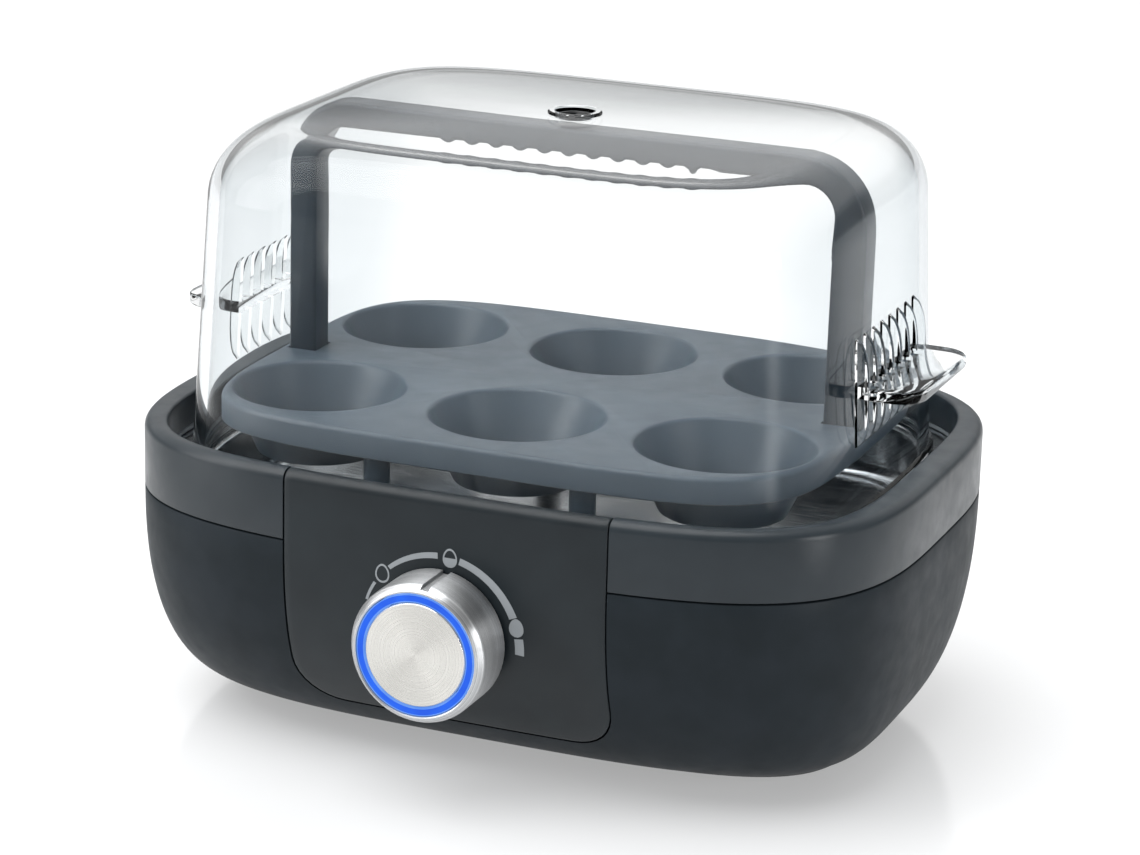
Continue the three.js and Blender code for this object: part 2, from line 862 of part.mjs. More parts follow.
const dialShaft = () =>
  roundRing([
    [stemRadius + clearance, encoderFront - encoderDepth + 1],
    [shaftRadius, encoderFront - encoderDepth + 1],
    [shaftRadius, hubTop - 1],
    [stemRadius + clearance, hubTop - 1],
  ]);

// The bush that carries the shaft in the panel.
const dialBush = () =>
  roundRing([
    [shaftRadius + clearance, encoderFront + clearance],
    [bushRadius, encoderFront + clearance],
    [bushRadius, -0.6],
    [shaftRadius + clearance, -0.6],
  ]);

function encoderBody() {
  const half = encoderSize / 2;
  const body = box([-half, -half, encoderFront - encoderDepth], [half, half, encoderFront]);
  return cut(body, [cylinder(shaftRadius + clearance, encoderFront - 20, 0, [0, 0], roundSteps)]);
}

const startButton = () =>
  roundLathe(
    [
      [0, buttonBack],
      [buttonRadius, buttonBack],
      [buttonRadius, buttonFront - 0.3],
      [buttonRadius - 0.3, buttonFront],
      [0, buttonFront],
    ],
    32,
  );

const buttonStem = () =>
  roundLathe(
    [
      [0, stemEnd],
      [stemRadius, stemEnd],
      [stemRadius, buttonBack - clearance],
      [0, buttonBack - clearance],
    ],
    smallSteps,
  );

// The return spring between the dial's hub and the button.
function buttonSpring() {
  const low = hubTop + clearance + springWire;
  const high = buttonBack - clearance - springWire;
  const radius = stemRadius + springGap;
  const steps = 20;
  const points = [];
  for (let i = 0; i <= steps; i += 1) {
    const turn = (i / steps) * springTurns * 2 * Math.PI;
    const height = low + ((high - low) * i) / steps;
    points.push(new THREE.Vector3(radius * Math.cos(turn), radius * Math.sin(turn), height));
  }
  return barAlong(new THREE.CatmullRomCurve3(points), springWire, 36, 5);
}

const switchFront = stemEnd - clearance - stroke;
const boardBehindDial = switchFront - switchDepth - clearance;

const startSwitch = () =>
  join([
    box([-switchHalf, -switchHalf, switchFront - switchDepth], [switchHalf, switchHalf, switchFront - 0.8]),
    cylinder(1.7, switchFront - 2, switchFront),
  ]);

const dialBoard = () =>
  box(
    [-dialBoardHalf, -encoderSize - 6, boardBehindDial - boardThickness],
    [dialBoardHalf, encoderSize / 2, boardBehindDial],
  );

// ---------------------------------------------------------------- egg tray, with z = 0 at its top face

const trayRing = (z, inset = 0) =>
  ring(trayHalfLength - inset, trayHalfDepth - inset, lidSquareness, z);
const wellPlaces = [];
for (let column = 0; column < wellColumns; column += 1) {
  for (const row of [-wellRowY, wellRowY]) wellPlaces.push([-wellReachX + column * wellPitch, row]);
}
const legY = trayHalfDepth - legInset;
const legPlaces = [];
for (let column = 1; column < wellColumns; column += 1) {
  for (const row of [-legY, legY]) legPlaces.push([-wellReachX + (column - 0.5) * wellPitch, row]);
}

function eggTray() {
  const plate = squaredLathe([
    axisPoint(-trayPlate),
    trayRing(-trayPlate, trayWall),
    trayRing(-traySkirt, trayWall),
    trayRing(-traySkirt),
    trayRing(-trayFillet),
    trayRing(0, trayFillet),
    axisPoint(0),
  ]);
  const wellMiddle = wellMouth + (wellRadius - wellMouth) * wellBulge;
  const cup = roundLathe(
    [
      [0, -wellDepth],
      [wellMouth + wellWall, -wellDepth],
      [wellMiddle + wellWall, -wellDepth / 2],
      [wellRadius + wellWall, -trayPlate / 2],
      [0, -trayPlate / 2],
    ],
    wellSteps,
  );
  const hollow = roundLathe(
    [
      [0, -wellDepth - 1],
      [wellMouth - 0.4, -wellDepth - 1],
      [wellMouth, -wellDepth],
      [wellMiddle, -wellDepth / 2],
      [wellRadius, 0],
      [wellRadius + 0.6, 1],
      [0, 1],
    ],
    wellSteps,
  );
  const cups = wellPlaces.map(([x, y]) => cup.translate([x, y, 0]));
  const hollows = wellPlaces.map(([x, y]) => hollow.translate([x, y, 0]));
  const legEnd = bowlFloor + bowlSheet + clearance - trayTop;
  const legs = legPlaces.map((place) => cylinder(legRadius, legEnd, -trayPlate / 2, place, 10));
  const outerPost = trayHalfLength - postInset;
  const slots = [-1, 1].map((side) => {
    const slot = box(
      [outerPost - postWidth - clearance, -handleDepth / 2 - clearance, -wellDepth - 5],
      [outerPost + clearance, handleDepth / 2 + clearance, 1],
    );
    return side > 0 ? slot : slot.rotate([0, 0, 180]);
  });
  return cut(join([plate, ...cups, ...legs]), [...hollows, ...slots]);
}

// The arch that carries the tray, with grip bumps under its beam and feet through the tray.
function carryHandle() {
  const outer = trayHalfLength - postInset;
  const inner = outer - postWidth;
  const innerCorner = handleCorner - postWidth;
  const beamBottom = handleTop - beamThickness;
  const arch = new THREE.Shape();
  arch.moveTo(outer, -handleFoot);
  arch.lineTo(outer, handleTop - handleCorner);
  arch.absarc(outer - handleCorner, handleTop - handleCorner, handleCorner, 0, Math.PI / 2);
  arch.absarc(-outer + handleCorner, handleTop - handleCorner, handleCorner, Math.PI / 2, Math.PI);
  arch.lineTo(-outer, -handleFoot);
  arch.lineTo(-inner, -handleFoot);
  arch.lineTo(-inner, beamBottom - innerCorner);
  arch.absarc(-inner + innerCorner, beamBottom - innerCorner, innerCorner, Math.PI, Math.PI / 2, true);
  for (let i = 0; i < gripCount; i += 1) {
    const x = (i - (gripCount - 1) / 2) * gripPitch;
    arch.lineTo(x - gripHalfWidth, beamBottom);
    arch.lineTo(x - gripHalfWidth / 2, beamBottom - gripHeight);
    arch.lineTo(x + gripHalfWidth / 2, beamBottom - gripHeight);
    arch.lineTo(x + gripHalfWidth, beamBottom);
  }
  arch.absarc(inner - innerCorner, beamBottom - innerCorner, innerCorner, Math.PI / 2, 0, true);
  arch.lineTo(inner, -handleFoot);
  return slabOf(arch, -handleDepth / 2, handleDepth / 2, 6);
}

// ---------------------------------------------------------------- lid, with z = 0 at its lower edge

function lidRing(z, inset = 0, shoulderInset = 0) {
  const lean = lidDraft * Math.min(z, lidHeight - lidShoulder) + inset + shoulderInset;
  return ring(lidFootHalfLength - lean, lidFootHalfDepth - lean, lidSquareness, z);
}

// The lid's surface from its edge to its crown, moved inwards by an inset.
function lidRings(inset) {
  const shoulder = lidShoulder - inset;
  const top = lidHeight - inset - lidCrown;
  const rings = [lidRing(0, inset), lidRing(top - shoulder, inset)];
  const steps = 4;
  for (let i = 1; i <= steps; i += 1) {
    const turn = (i / steps) * (Math.PI / 2);
    rings.push({
      ...lidRing(top - shoulder, inset, shoulder * (1 - Math.cos(turn))),
      z: top - shoulder * (1 - Math.sin(turn)),
    });
  }
  const last = rings[rings.length - 1];
  rings.push(ring(last.halfLength / 2, last.halfDepth / 2, 3, top + lidCrown * 0.75));
  rings.push(axisPoint(top + lidCrown));
  return rings;
}

function wing(side) {
  const start = lidFootHalfLength - lidDraft * wingTop - lidWall - 1;
  const outline = new THREE.Shape();
  outline.moveTo(start, -wingHalfWidth);
  outline.lineTo(wingReach - wingCorner, -wingHalfWidth);
  outline.absarc(wingReach - wingCorner, -wingHalfWidth + wingCorner, wingCorner, -Math.PI / 2, 0);
  outline.absarc(wingReach - wingCorner, wingHalfWidth - wingCorner, wingCorner, 0, Math.PI / 2);
  outline.lineTo(start, wingHalfWidth);
  const plate = plateOf(outline, wingTop - wingThickness, wingTop);
  return side > 0 ? plate : plate.rotate([0, 0, 180]);
}

// A gusset fin that stiffens the wing, with pointed ends that run out on the lid's wall.
function fin(side, y) {
  const middle = wingTop - wingThickness / 2;
  const half = finRise + wingThickness / 2;
  const wall = (z) => lidFootHalfLength - lidDraft * z;
  const outline = new THREE.Shape();
  outline.moveTo(wall(middle) - lidWall, middle - half);
  outline.lineTo(wall(middle - half) + 0.2, middle - half);
  outline.lineTo(wall(middle) + finReach, middle - half + finSlope);
  outline.lineTo(wall(middle) + finReach, middle + half - finSlope);
  outline.lineTo(wall(middle + half) + 0.2, middle + half);
  outline.lineTo(wall(middle) - lidWall, middle + half);
  const plate = slabOf(outline, -finThickness / 2, finThickness / 2);
  return (side > 0 ? plate : plate.rotate([0, 0, 180])).translate([0, y, 0]);
}

function lid() {
  const outside = squaredLathe([axisPoint(0), ...lidRings(0)]);
  const inside = squaredLathe([axisPoint(-1), lidRing(-1, lidWall), ...lidRings(lidWall).slice(1)]);
  const bead = squaredLathe([
    axisPoint(0),
    lidRing(0, -lidBead),
    lidRing(lidBeadHeight, -lidBead),
    lidRing(lidBeadHeight + 0.6, 0.5),
    axisPoint(lidBeadHeight + 0.6),
  ]);
  const wings = [-1, 1].map(wing);
  const fins = [];
  for (const side of [-1, 1]) {
    for (let i = 0; i < finCount; i += 1) fins.push(fin(side, (i - (finCount - 1) / 2) * finPitch));
  }
  const centre = [0, 0];
  const collarTop = lidHeight + ventCollarHeight;
  const collar = cylinder(ventCollarRadius, lidHeight - lidWall, collarTop, centre, roundSteps);
  const vent = cylinder(ventRadius, lidHeight - 10, lidHeight + 10, centre, roundSteps);
  return cut(join([outside, bead, ...wings, ...fins, collar]), [inside, vent]);
}

// The dark steam vent in the lid's crown: a disc with two openings either side of a bar.
function ventInsert() {
  const radius = ventRadius - clearance;
  const disc = cylinder(radius, lidHeight - lidWall, lidHeight - 0.4, [0, 0], roundSteps);
  const mouths = [-1, 1].map((side) =>
    cylinder(radius - ventRimWall, lidHeight - 10, lidHeight + 10, [0, 0], smallSteps).intersect(
      box(
        [side > 0 ? ventBarHalf : -radius, -radius, lidHeight - 9],
        [side > 0 ? radius : -ventBarHalf, radius, lidHeight + 9],
      ),
    ),
  );
  return cut(disc, mouths);
}

// ---------------------------------------------------------------- finishes

const finish = (color, roughness, metalness, extra = {}) =>
  new THREE.MeshStandardMaterial({ color, roughness, metalness, ...extra });
const anthracite = finish(0x3b4248, 0.45, 0);
const anthraciteBand = finish(0x454c53, 0.38, 0);
const traySlate = finish(0x4a5157, 0.42, 0);
const darkPlastic = finish(0x1b1e20, 0.6, 0);
const rubber = finish(0x17181a, 0.85, 0);
const steel = finish(0xc8cbce, 0.25, 1);
const brushed = finish(0xb9bbbd, 0.32, 1);
const spun = finish(0xd8d7d3, 0.3, 1);
const blueLight = finish(0x0b5ae0, 0.3, 0, { emissive: 0x0b5ae0 });
const clear = finish(0xf2f6f8, 0.05, 0, { transparent: true, opacity: 0.25 });
const silicone = finish(0x8d9194, 0.7, 0);
const aluminium = finish(0xb4b8bb, 0.4, 1);
const boardGreen = finish(0x1f5c36, 0.55, 0);
const casing = finish(0x20262c, 0.5, 0);
const zinc = finish(0x9fa3a6, 0.35, 1);
const brass = finish(0xb99a55, 0.3, 1);

// ---------------------------------------------------------------- assembly

function addPart(group, name, solid, material, place = [0, 0, 0]) {
  const mesh = new THREE.Mesh(geometryFrom(solid), material);
  mesh.name = name;
  mesh.position.set(...place);
  group.add(mesh);
  return mesh;
}

function base() {
  const group = new THREE.Group();
  addPart(group, "housing_shell", housingShell(), anthracite);
  addPart(group, "rim_band", rimBand(), anthraciteBand);
  addPart(group, "front_panel", frontPanel(), anthracite);
  addPart(group, "base_plate", basePlate(), darkPlastic);
  corners.forEach((side, i) => addPart(group, `foot_pad_${i + 1}`, footPad(side), rubber));
  const baseScrew = screw(screwLength);
  screwPlaces.forEach((place, i) =>
    addPart(group, `base_screw_${i + 1}`, baseScrew, zinc, [...place, shellBottom]),
  );
  addPart(group, "heating_bowl", heatingBowl(), steel);
  addPart(group, "bowl_gasket", bowlGasket(), silicone);
  addPart(group, "heat_spreader", heatSpreader(), aluminium);
  addPart(group, "heating_element", heatingElement(), steel);
  addPart(group, "thermostat", thermostat(), casing);
  addPart(group, "thermal_fuse", thermalFuse(), brass);
  addPart(group, "control_board", controlBoard(), boardGreen);
  const boardScrew = screw(boardScrewLength);
  boardScrewPlaces.forEach((place, i) => {
    const mesh = addPart(group, `board_screw_${i + 1}`, boardScrew, zinc);
    mesh.rotation.x = Math.PI;
    mesh.position.set(...place, onBoard + screwHeadHeight);
  });
  const partRow = boardFront + 9;
  const buzzer = cylinder(buzzerRadius, onBoard, onBoard + buzzerHeight, [24, partRow], roundSteps);
  addPart(group, "relay", blockOnBoard([-24, partRow], relaySize), casing);
  addPart(group, "supply_capacitor", blockOnBoard([2, partRow], capacitorSize), casing);
  addPart(group, "buzzer", buzzer, casing);
  addPart(group, "terminal_block", terminalBlock(), boardGreen);
  addPart(group, "cord_gland", cordGland(), rubber);
  return group;
}

// The dial and what stands behind it share the dial's axis.
function dial() {
  const group = new THREE.Group();
  group.position.set(0, -dialBack, dialHeight);
  group.rotation.x = Math.PI / 2;
  addPart(group, "dial_sleeve", dialSleeve(), brushed);
  addPart(group, "dial_core", dialCore(), darkPlastic);
  addPart(group, "light_ring", lightRing(), blueLight);
  addPart(group, "dial_shaft", dialShaft(), steel);
  addPart(group, "dial_bush", dialBush(), brass);
  addPart(group, "encoder_body", encoderBody(), casing);
  addPart(group, "start_button", startButton(), spun);
  addPart(group, "button_stem", buttonStem(), darkPlastic);
  addPart(group, "button_spring", buttonSpring(), steel);
  addPart(group, "start_switch", startSwitch(), casing);
  addPart(group, "dial_board", dialBoard(), boardGreen);
  return group;
}

function tray() {
  const group = new THREE.Group();
  group.position.z = trayTop;
  addPart(group, "egg_tray", eggTray(), traySlate);
  addPart(group, "carry_handle", carryHandle(), traySlate);
  return group;
}

function cover() {
  const group = new THREE.Group();
  group.position.z = lidFoot;
  addPart(group, "lid", lid(), clear);
  addPart(group, "vent_insert", ventInsert(), darkPlastic);
  return group;
}

const eggCooker = new THREE.Group();
eggCooker.name = "egg_cooker";
eggCooker.position.y = assemblyShift;
eggCooker.add(base(), dial(), tray(), cover());

export default eggCooker;
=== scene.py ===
"""An egg cooker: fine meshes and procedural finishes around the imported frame.

Shapes are worked out in millimetres, centred on the body's axis, and placed in the frame in metres.
"""

import bisect
import math

import bmesh
import bpy
from mathutils import Matrix, Vector


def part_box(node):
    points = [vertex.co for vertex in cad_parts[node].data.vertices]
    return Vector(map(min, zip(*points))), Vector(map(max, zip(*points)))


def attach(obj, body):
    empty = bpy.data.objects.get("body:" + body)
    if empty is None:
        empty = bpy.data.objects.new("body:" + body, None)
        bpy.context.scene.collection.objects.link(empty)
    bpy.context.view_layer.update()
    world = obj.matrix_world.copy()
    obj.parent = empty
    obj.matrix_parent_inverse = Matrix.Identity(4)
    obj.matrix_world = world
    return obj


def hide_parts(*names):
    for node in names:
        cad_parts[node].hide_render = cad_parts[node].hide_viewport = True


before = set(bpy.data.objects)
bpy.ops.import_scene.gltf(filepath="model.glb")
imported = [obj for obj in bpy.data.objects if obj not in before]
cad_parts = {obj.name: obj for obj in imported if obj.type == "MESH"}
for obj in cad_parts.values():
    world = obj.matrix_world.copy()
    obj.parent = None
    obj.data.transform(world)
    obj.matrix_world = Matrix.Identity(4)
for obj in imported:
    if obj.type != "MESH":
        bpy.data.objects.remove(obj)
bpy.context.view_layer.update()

MM = 0.001
LID_LOW, LID_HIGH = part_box("lid")
SHIFT_Y = (LID_LOW.y + LID_HIGH.y) / 2 / MM
CLEARANCE = 0.3

# meshes
SHARP_ANGLE = 35
MERGE_DISTANCE = 1e-6
OUTLINE_POINTS = 240
ROUND_POINTS = 64
CUTTER_MARGIN = 20.0

# body
BODY_HALF = (93.0, 71.0)
BODY_POWER = 3.6
RIM_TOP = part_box("rim_band")[1].z / MM
SEAM = 54.0
SEAM_GAP = 0.35
SHELL_BOTTOM = 4.0
BASE_HALF = (75.0, 36.0)
BELLY_POWER = 2.37
SHELL_WALL = 2.5
RIM_FILLET = 2.4
RIM_INNER_FILLET = 0.8
RECESS_HALF = (85.8, 66.4)
RECESS_POWER = 4.16
RECESS_BOTTOM = 62.8
EDGE = 0.3

# front panel
PANEL_HALF = 39.0
PANEL_BOTTOM = 14.0
PANEL_CORNER = 11.0
PANEL_WALL = 2.2
PANEL_WRAP = 3.4
PANEL_COLUMNS = 48
POCKET_ABOVE = 8.0
POCKET_REACH = 15.0

# feet and base plate
PLATE_HALF = (66.0, 28.0)
PLATE_TOP = 6.6
FOOT_BOTTOM = 0.8
FOOT_TOP = 6.5
FOOT_INNER_END = 43.0
FOOT_SIDE_END = 14.0
FOOT_CHAMFER = 0.4
PAD_MARGIN = 1.3
PAD_THICKNESS = 2.0
CORNER_SIGNS = [(-1, -1), (1, -1), (1, 1), (-1, 1)]
SCREW_PLACES = [(50 * x, 20 * y) for x, y in CORNER_SIGNS]
SCREW_HEAD = 2.7
SCREW_HEAD_HEIGHT = 1.3
SCREW_SHANK = 1.3
SCREW_LENGTH = 11.0
SLOT_PITCH = 7.0
SLOT_ENDS = (-3, -13)

# bowl
BOWL_HALF = (76.3, 60.1)
BOWL_FLOOR = 46.5
BOWL_SHEET = 0.9
BOWL_CORNER = 5.0
FLANGE_TOP = 61.0
GASKET_HEIGHT = 1.2

# lid, with its own z from its lower edge
LID_FOOT = LID_LOW.z / MM
LID_HALF = (78.6, 64.0)
LID_POWER = 4.7
LID_DRAFT = 0.052
LID_WALL = 2.3
LID_HEIGHT = 80.7
LID_SHOULDER = 17.0
LID_CROWN = 1.4
LID_BEAD = 0.9
LID_BEAD_HEIGHT = 1.8
VENT_RADIUS = 4.8
VENT_COLLAR_RADIUS = 6.3
VENT_COLLAR_HEIGHT = 0.7
WING_REACH = 91.5
WING_HALF = 21.0
WING_THICKNESS = 2.8
WING_TOP = 31.2
WING_CORNER = 7.0
FIN_COUNT = 8
FIN_PITCH = 5.9
FIN_THICKNESS = 1.8
FIN_REACH = 3.0
FIN_RISE = 11.0

# tray, with its own z from its top face
TRAY_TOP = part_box("egg_tray")[1].z / MM
TRAY_HALF = (73.03, 57.63)
TRAY_PLATE = 1.8
TRAY_SKIRT = 6.3
TRAY_WALL = 1.5
TRAY_FILLET = 1.2
WELL_REACH = (50.03, 29.33)
WELL_RADIUS = 20.0
WELL_MOUTH = 13.0
WELL_DEPTH = 15.0
WELL_BULGE = 3.4
WELL_WALL = 1.5
LEG_RADIUS = 3.0
LEG_INSET = 7.0

# carry handle
POST_OUTER = TRAY_HALF[0] - 2
POST_WIDTH = 7.0
HANDLE_DEPTH = 8.0
HANDLE_TOP = 59.6
BEAM = 5.5
HANDLE_CORNER = 14.5
HANDLE_FOOT = 9.0
GRIP_COUNT = 11
GRIP_PITCH = 6.06
GRIP_HEIGHT = 0.8
GRIP_HALF = 1.9

# dial, with its own z towards the user
DIAL_HEIGHT = 38.0
DIAL_BACK = 71.4
DIAL_DEPTH = 12.6
DIAL_RADIUS = 16.0
DIAL_CHAMFER = 1.7
DIAL_WALL = 1.5
LIGHT_OUTER = 13.9
LIGHT_INNER = 12.2
# width of the pale bands of painted glow, the halo at the light ring's edges
HALO_WIDTH = 0.17
GLOW_GAP = 0.02
GLOW_BACK = 3.9
BUTTON_RADIUS = 11.9
BUTTON_FRONT = DIAL_DEPTH - 0.2
BUTTON_THICKNESS = 1.8
SPRING_POCKET = (3.1, 4.5)
SPRING_POCKET_DEPTH = 1.25
POINTER_ANGLE = 7.0
POINTER_WIDTH = 2.0
POINTER_DEPTH = 0.9
SEAT_RADIUS = 14.6
SEAT_DEPTH = 9.0
SEAT_CHAMFER = 0.4
SEAT_GAP = CLEARANCE + 0.1

# marks printed round the dial: start, end and width at each end of the arcs, and where the eggs stand
MARK_RADIUS = 18.8
ARC_MARKS = [(-72, -57, 0.6, 0.7), (-41, -2, 1.0, 1.4), (14, 68, 1.6, 1.9), (83, 95, 2.1, 2.1)]
SOFT_EGG = -48
MEDIUM_EGG = 7
HARD_EGG = 75
EGG_HALF = (1.7, 2.2)
EGG_INSIDE = 0.8
FULL = 0.98

# cord gland
GLAND_HEIGHT = 33.0
GLAND_BORE = 3.0
GLAND_WALL = 1.1
GLAND_LIP = 5.3
GLAND_REACH = 72.6
GLAND_INSIDE = 8.5
BOSS_MARGIN = 2.0
BOSS_DEPTH = 2.5


# ---------------------------------------------------------------- outlines


def signed_power(value, power):
    """A power that keeps the sign."""
    return math.copysign(abs(value) ** power, value) if abs(value) > 1e-9 else 0.0


def superellipse(half_length, half_depth, squareness, turn):
    """The point of a superellipse at a turn that starts at the front."""
    power = 2 / squareness
    return (
        half_length * signed_power(math.sin(turn), power),
        -half_depth * signed_power(math.cos(turn), power),
    )


def quarter_turns(steps):
    """The turns that divide a quarter circle evenly."""
    return [i / steps * math.pi / 2 for i in range(steps + 1)]


def even_turns(half_length, half_depth, squareness, count):
    """The turns that space points evenly along a superellipse, alike in each quarter."""
    steps = quarter_turns(4000)
    points = [superellipse(half_length, half_depth, squareness, turn) for turn in steps]
    lengths = [0.0]
    for here, there in zip(points, points[1:]):
        lengths.append(lengths[-1] + math.dist(here, there))
    quarter = count // 4
    marks = [lengths[-1] * i / quarter for i in range(quarter)]
    rising = [steps[bisect.bisect_left(lengths, mark)] for mark in marks]
    falling = [math.pi - turn for turn in [math.pi / 2, *reversed(rising[1:])]]
    half = rising + falling
    return half + [turn + math.pi for turn in half]


ROUND_TURNS = [i / ROUND_POINTS * 2 * math.pi for i in range(ROUND_POINTS)]
BODY_TURNS = even_turns(*BODY_HALF, BODY_POWER, OUTLINE_POINTS)
LID_TURNS = even_turns(*LID_HALF, LID_POWER, OUTLINE_POINTS)


def circle(radius, z):
    """One level of a round lathe."""
    return (radius, radius, 2, z)


def axis_point(z):
    """The end of a lathe on its axis."""
    return circle(0, z)


def body_ring(z, inset=0.0):
    """The body's outline at height z, moved inwards by an inset."""
    drop = min(1.0, max(0.0, SEAM - z) / (SEAM - SHELL_BOTTOM - inset))
    swell = (1 - drop**BELLY_POWER) ** (1 / BELLY_POWER)
    half = [base + (body - inset - base) * swell for body, base in zip(BODY_HALF, BASE_HALF)]
    return (*half, BODY_POWER, z)


def belly_heights(low, high, count):
    """Heights up the belly, closest together where it curves most."""
    depth = SEAM - SHELL_BOTTOM
    angles = [math.acos(max(0.0, (SEAM - z) / depth) ** (BELLY_POWER / 2)) for z in (low, high)]
    spread = [angles[0] + (angles[1] - angles[0]) * i / count for i in range(count + 1)]
    return [SEAM - depth * max(0.0, math.cos(a)) ** (2 / BELLY_POWER) for a in spread]


def rounding(radius, steps):
    """A rounded edge as (drop, inset) pairs, from the wall up to the top."""
    return [(radius * (1 - math.sin(t)), radius * (1 - math.cos(t))) for t in quarter_turns(steps)]


def rim_edge():
    """The rounded edge at the top of the rim, as (height, inset) pairs."""
    return [(RIM_TOP - drop, inset) for drop, inset in rounding(RIM_FILLET, 6)]


def recess_ring(z, outset=0.0):
    """The outline of the recess in the rim."""
    return (RECESS_HALF[0] + outset, RECESS_HALF[1] + outset, RECESS_POWER, z)


def grown(half, outset, squareness, z):
    """A superellipse moved outwards."""
    return (half[0] + outset, half[1] + outset, squareness, z)


# ---------------------------------------------------------------- meshes


def add_object(name, data):
    """An object in the scene that holds a mesh, a lamp or a camera."""
    obj = bpy.data.objects.new(name, data)
    bpy.context.scene.collection.objects.link(obj)
    return obj


def piece(name, vertices, faces):
    """A mesh object from points in millimetres, with its faces turned outwards."""
    mesh = bpy.data.meshes.new(name)
    mesh.from_pydata([(x * MM, (y + SHIFT_Y) * MM, z * MM) for x, y, z in vertices], [], faces)
    obj = add_object(name, mesh)
    tidy(obj)
    return obj


def tidy(obj):
    """Merges doubled points, turns faces outwards and smooths all but the sharp edges."""
    work = bmesh.new()
    work.from_mesh(obj.data)
    bmesh.ops.remove_doubles(work, verts=work.verts, dist=MERGE_DISTANCE)
    bmesh.ops.recalc_face_normals(work, faces=work.faces)
    work.to_mesh(obj.data)
    work.free()
    obj.data.shade_smooth()
    obj.data.set_sharp_from_angle(angle=math.radians(SHARP_ANGLE))


def lathe(name, rings, turns, closed=False, place=(0, 0, 0), facing=None):
    """A lathe whose levels are superellipses. Facing turns its axis towards the front or the back."""
    vertices, faces, rows = [], [], []
    for half_length, half_depth, squareness, z in rings:
        start = len(vertices)
        if half_length <= 0:
            vertices.append((0, 0, z))
            rows.append([start] * len(turns))
            continue
        for turn in turns:
            vertices.append((*superellipse(half_length, half_depth, squareness, turn), z))
        rows.append(list(range(start, start + len(turns))))
    pairs = list(zip(rows, rows[1:]))
    if closed:
        pairs.append((rows[-1], rows[0]))
    for low, high in pairs:
        for i in range(len(turns)):
            j = (i + 1) % len(turns)
            corners = list(dict.fromkeys([low[i], low[j], high[j], high[i]]))
            if len(corners) > 2:
                faces.append(corners)
    turned = {
        None: lambda x, y, z: (x, y, z),
        "front": lambda x, y, z: (x, -z, y),
        "back": lambda x, y, z: (-x, z, y),
    }[facing]
    moved = [[a + b for a, b in zip(turned(*v), place)] for v in vertices]
    return piece(name, moved, faces)


def round_lathe(name, profile, **options):
    """A round lathe from (radius, z) pairs."""
    return lathe(name, [circle(r, z) for r, z in profile], ROUND_TURNS, **options)


def rod(radius, low, high):
    """The profile of a plain round bar between two levels."""
    return [(0, low), (radius, low), (radius, high), (0, high)]


def prism(name, outline, low, high, lay=lambda x, y, z: (x, y, z)):
    """An outline of (x, y) points between two heights; lay says where each point goes."""
    count = len(outline)
    vertices = [lay(x, y, z) for z in (low, high) for x, y in outline]
    sides = [[i, (i + 1) % count, count + (i + 1) % count, count + i] for i in range(count)]
    ends = [list(range(count)), list(range(count, 2 * count))]
    return piece(name, vertices, sides + ends)


def block(name, low, high):
    """A box between two corners, used as a cutter."""
    outline = [(low[0], low[1]), (high[0], low[1]), (high[0], high[1]), (low[0], high[1])]
    return prism(name, outline, low[2], high[2])


def arc(centre, radius, start, end, steps=8):
    """Points along an arc, with angles in degrees."""
    turns = [math.radians(start + (end - start) * i / steps) for i in range(steps + 1)]
    return [(centre[0] + radius * math.cos(t), centre[1] + radius * math.sin(t)) for t in turns]


def apply_modifiers(obj):
    """Turns the object's modifiers into mesh."""
    bpy.context.view_layer.update()
    evaluated = obj.evaluated_get(bpy.context.evaluated_depsgraph_get())
    mesh = bpy.data.meshes.new_from_object(evaluated)
    obj.modifiers.clear()
    obj.data = mesh
    tidy(obj)
    return obj


def combine(obj, tools, operation):
    """Cuts tools out of an object, joins them to it, or keeps what they share, and uses them up."""
    for tool in tools:
        modifier = obj.modifiers.new("combine", "BOOLEAN")
        modifier.operation = operation
        modifier.solver = "MANIFOLD"
        modifier.object = tool
    apply_modifiers(obj)
    for tool in tools:
        bpy.data.objects.remove(tool)
    return obj


def cut(obj, *tools):
    """The object less the tools."""
    return combine(obj, tools, "DIFFERENCE")


def join(obj, *tools):
    """The object and the tools as one."""
    return combine(obj, tools, "UNION")


def keep(obj, *tools):
    """What the object and the tools share."""
    return combine(obj, tools, "INTERSECT")


def round_edges(obj, width, segments, angle):
    """Rounds an object's edges that turn by more than an angle."""
    modifier = obj.modifiers.new("round", "BEVEL")
    modifier.width = width * MM
    modifier.segments = segments
    modifier.limit_method = "ANGLE"
    modifier.angle_limit = math.radians(angle)
    return apply_modifiers(obj)


# ---------------------------------------------------------------- finishes


def tint(colour):
    """A colour given as #rrggbb, in linear light."""
    parts = [int(colour[i : i + 2], 16) / 255 for i in (1, 3, 5)]
    linear = [c / 12.92 if c <= 0.04045 else ((c + 0.055) / 1.055) ** 2.4 for c in parts]
    return (*linear, 1.0)


def add_node(tree, kind, *sources, **settings):
    """A shader node with its settings, whose first inputs are linked to sources or set to numbers."""
    node = tree.nodes.new(f"ShaderNode{kind}")
    for name, value in settings.items():
        setattr(node, name, value)
    for socket, source in zip(node.inputs, sources):
        if isinstance(source, bpy.types.NodeSocket):
            tree.links.new(source, socket)
        else:
            socket.default_value = source
    return node


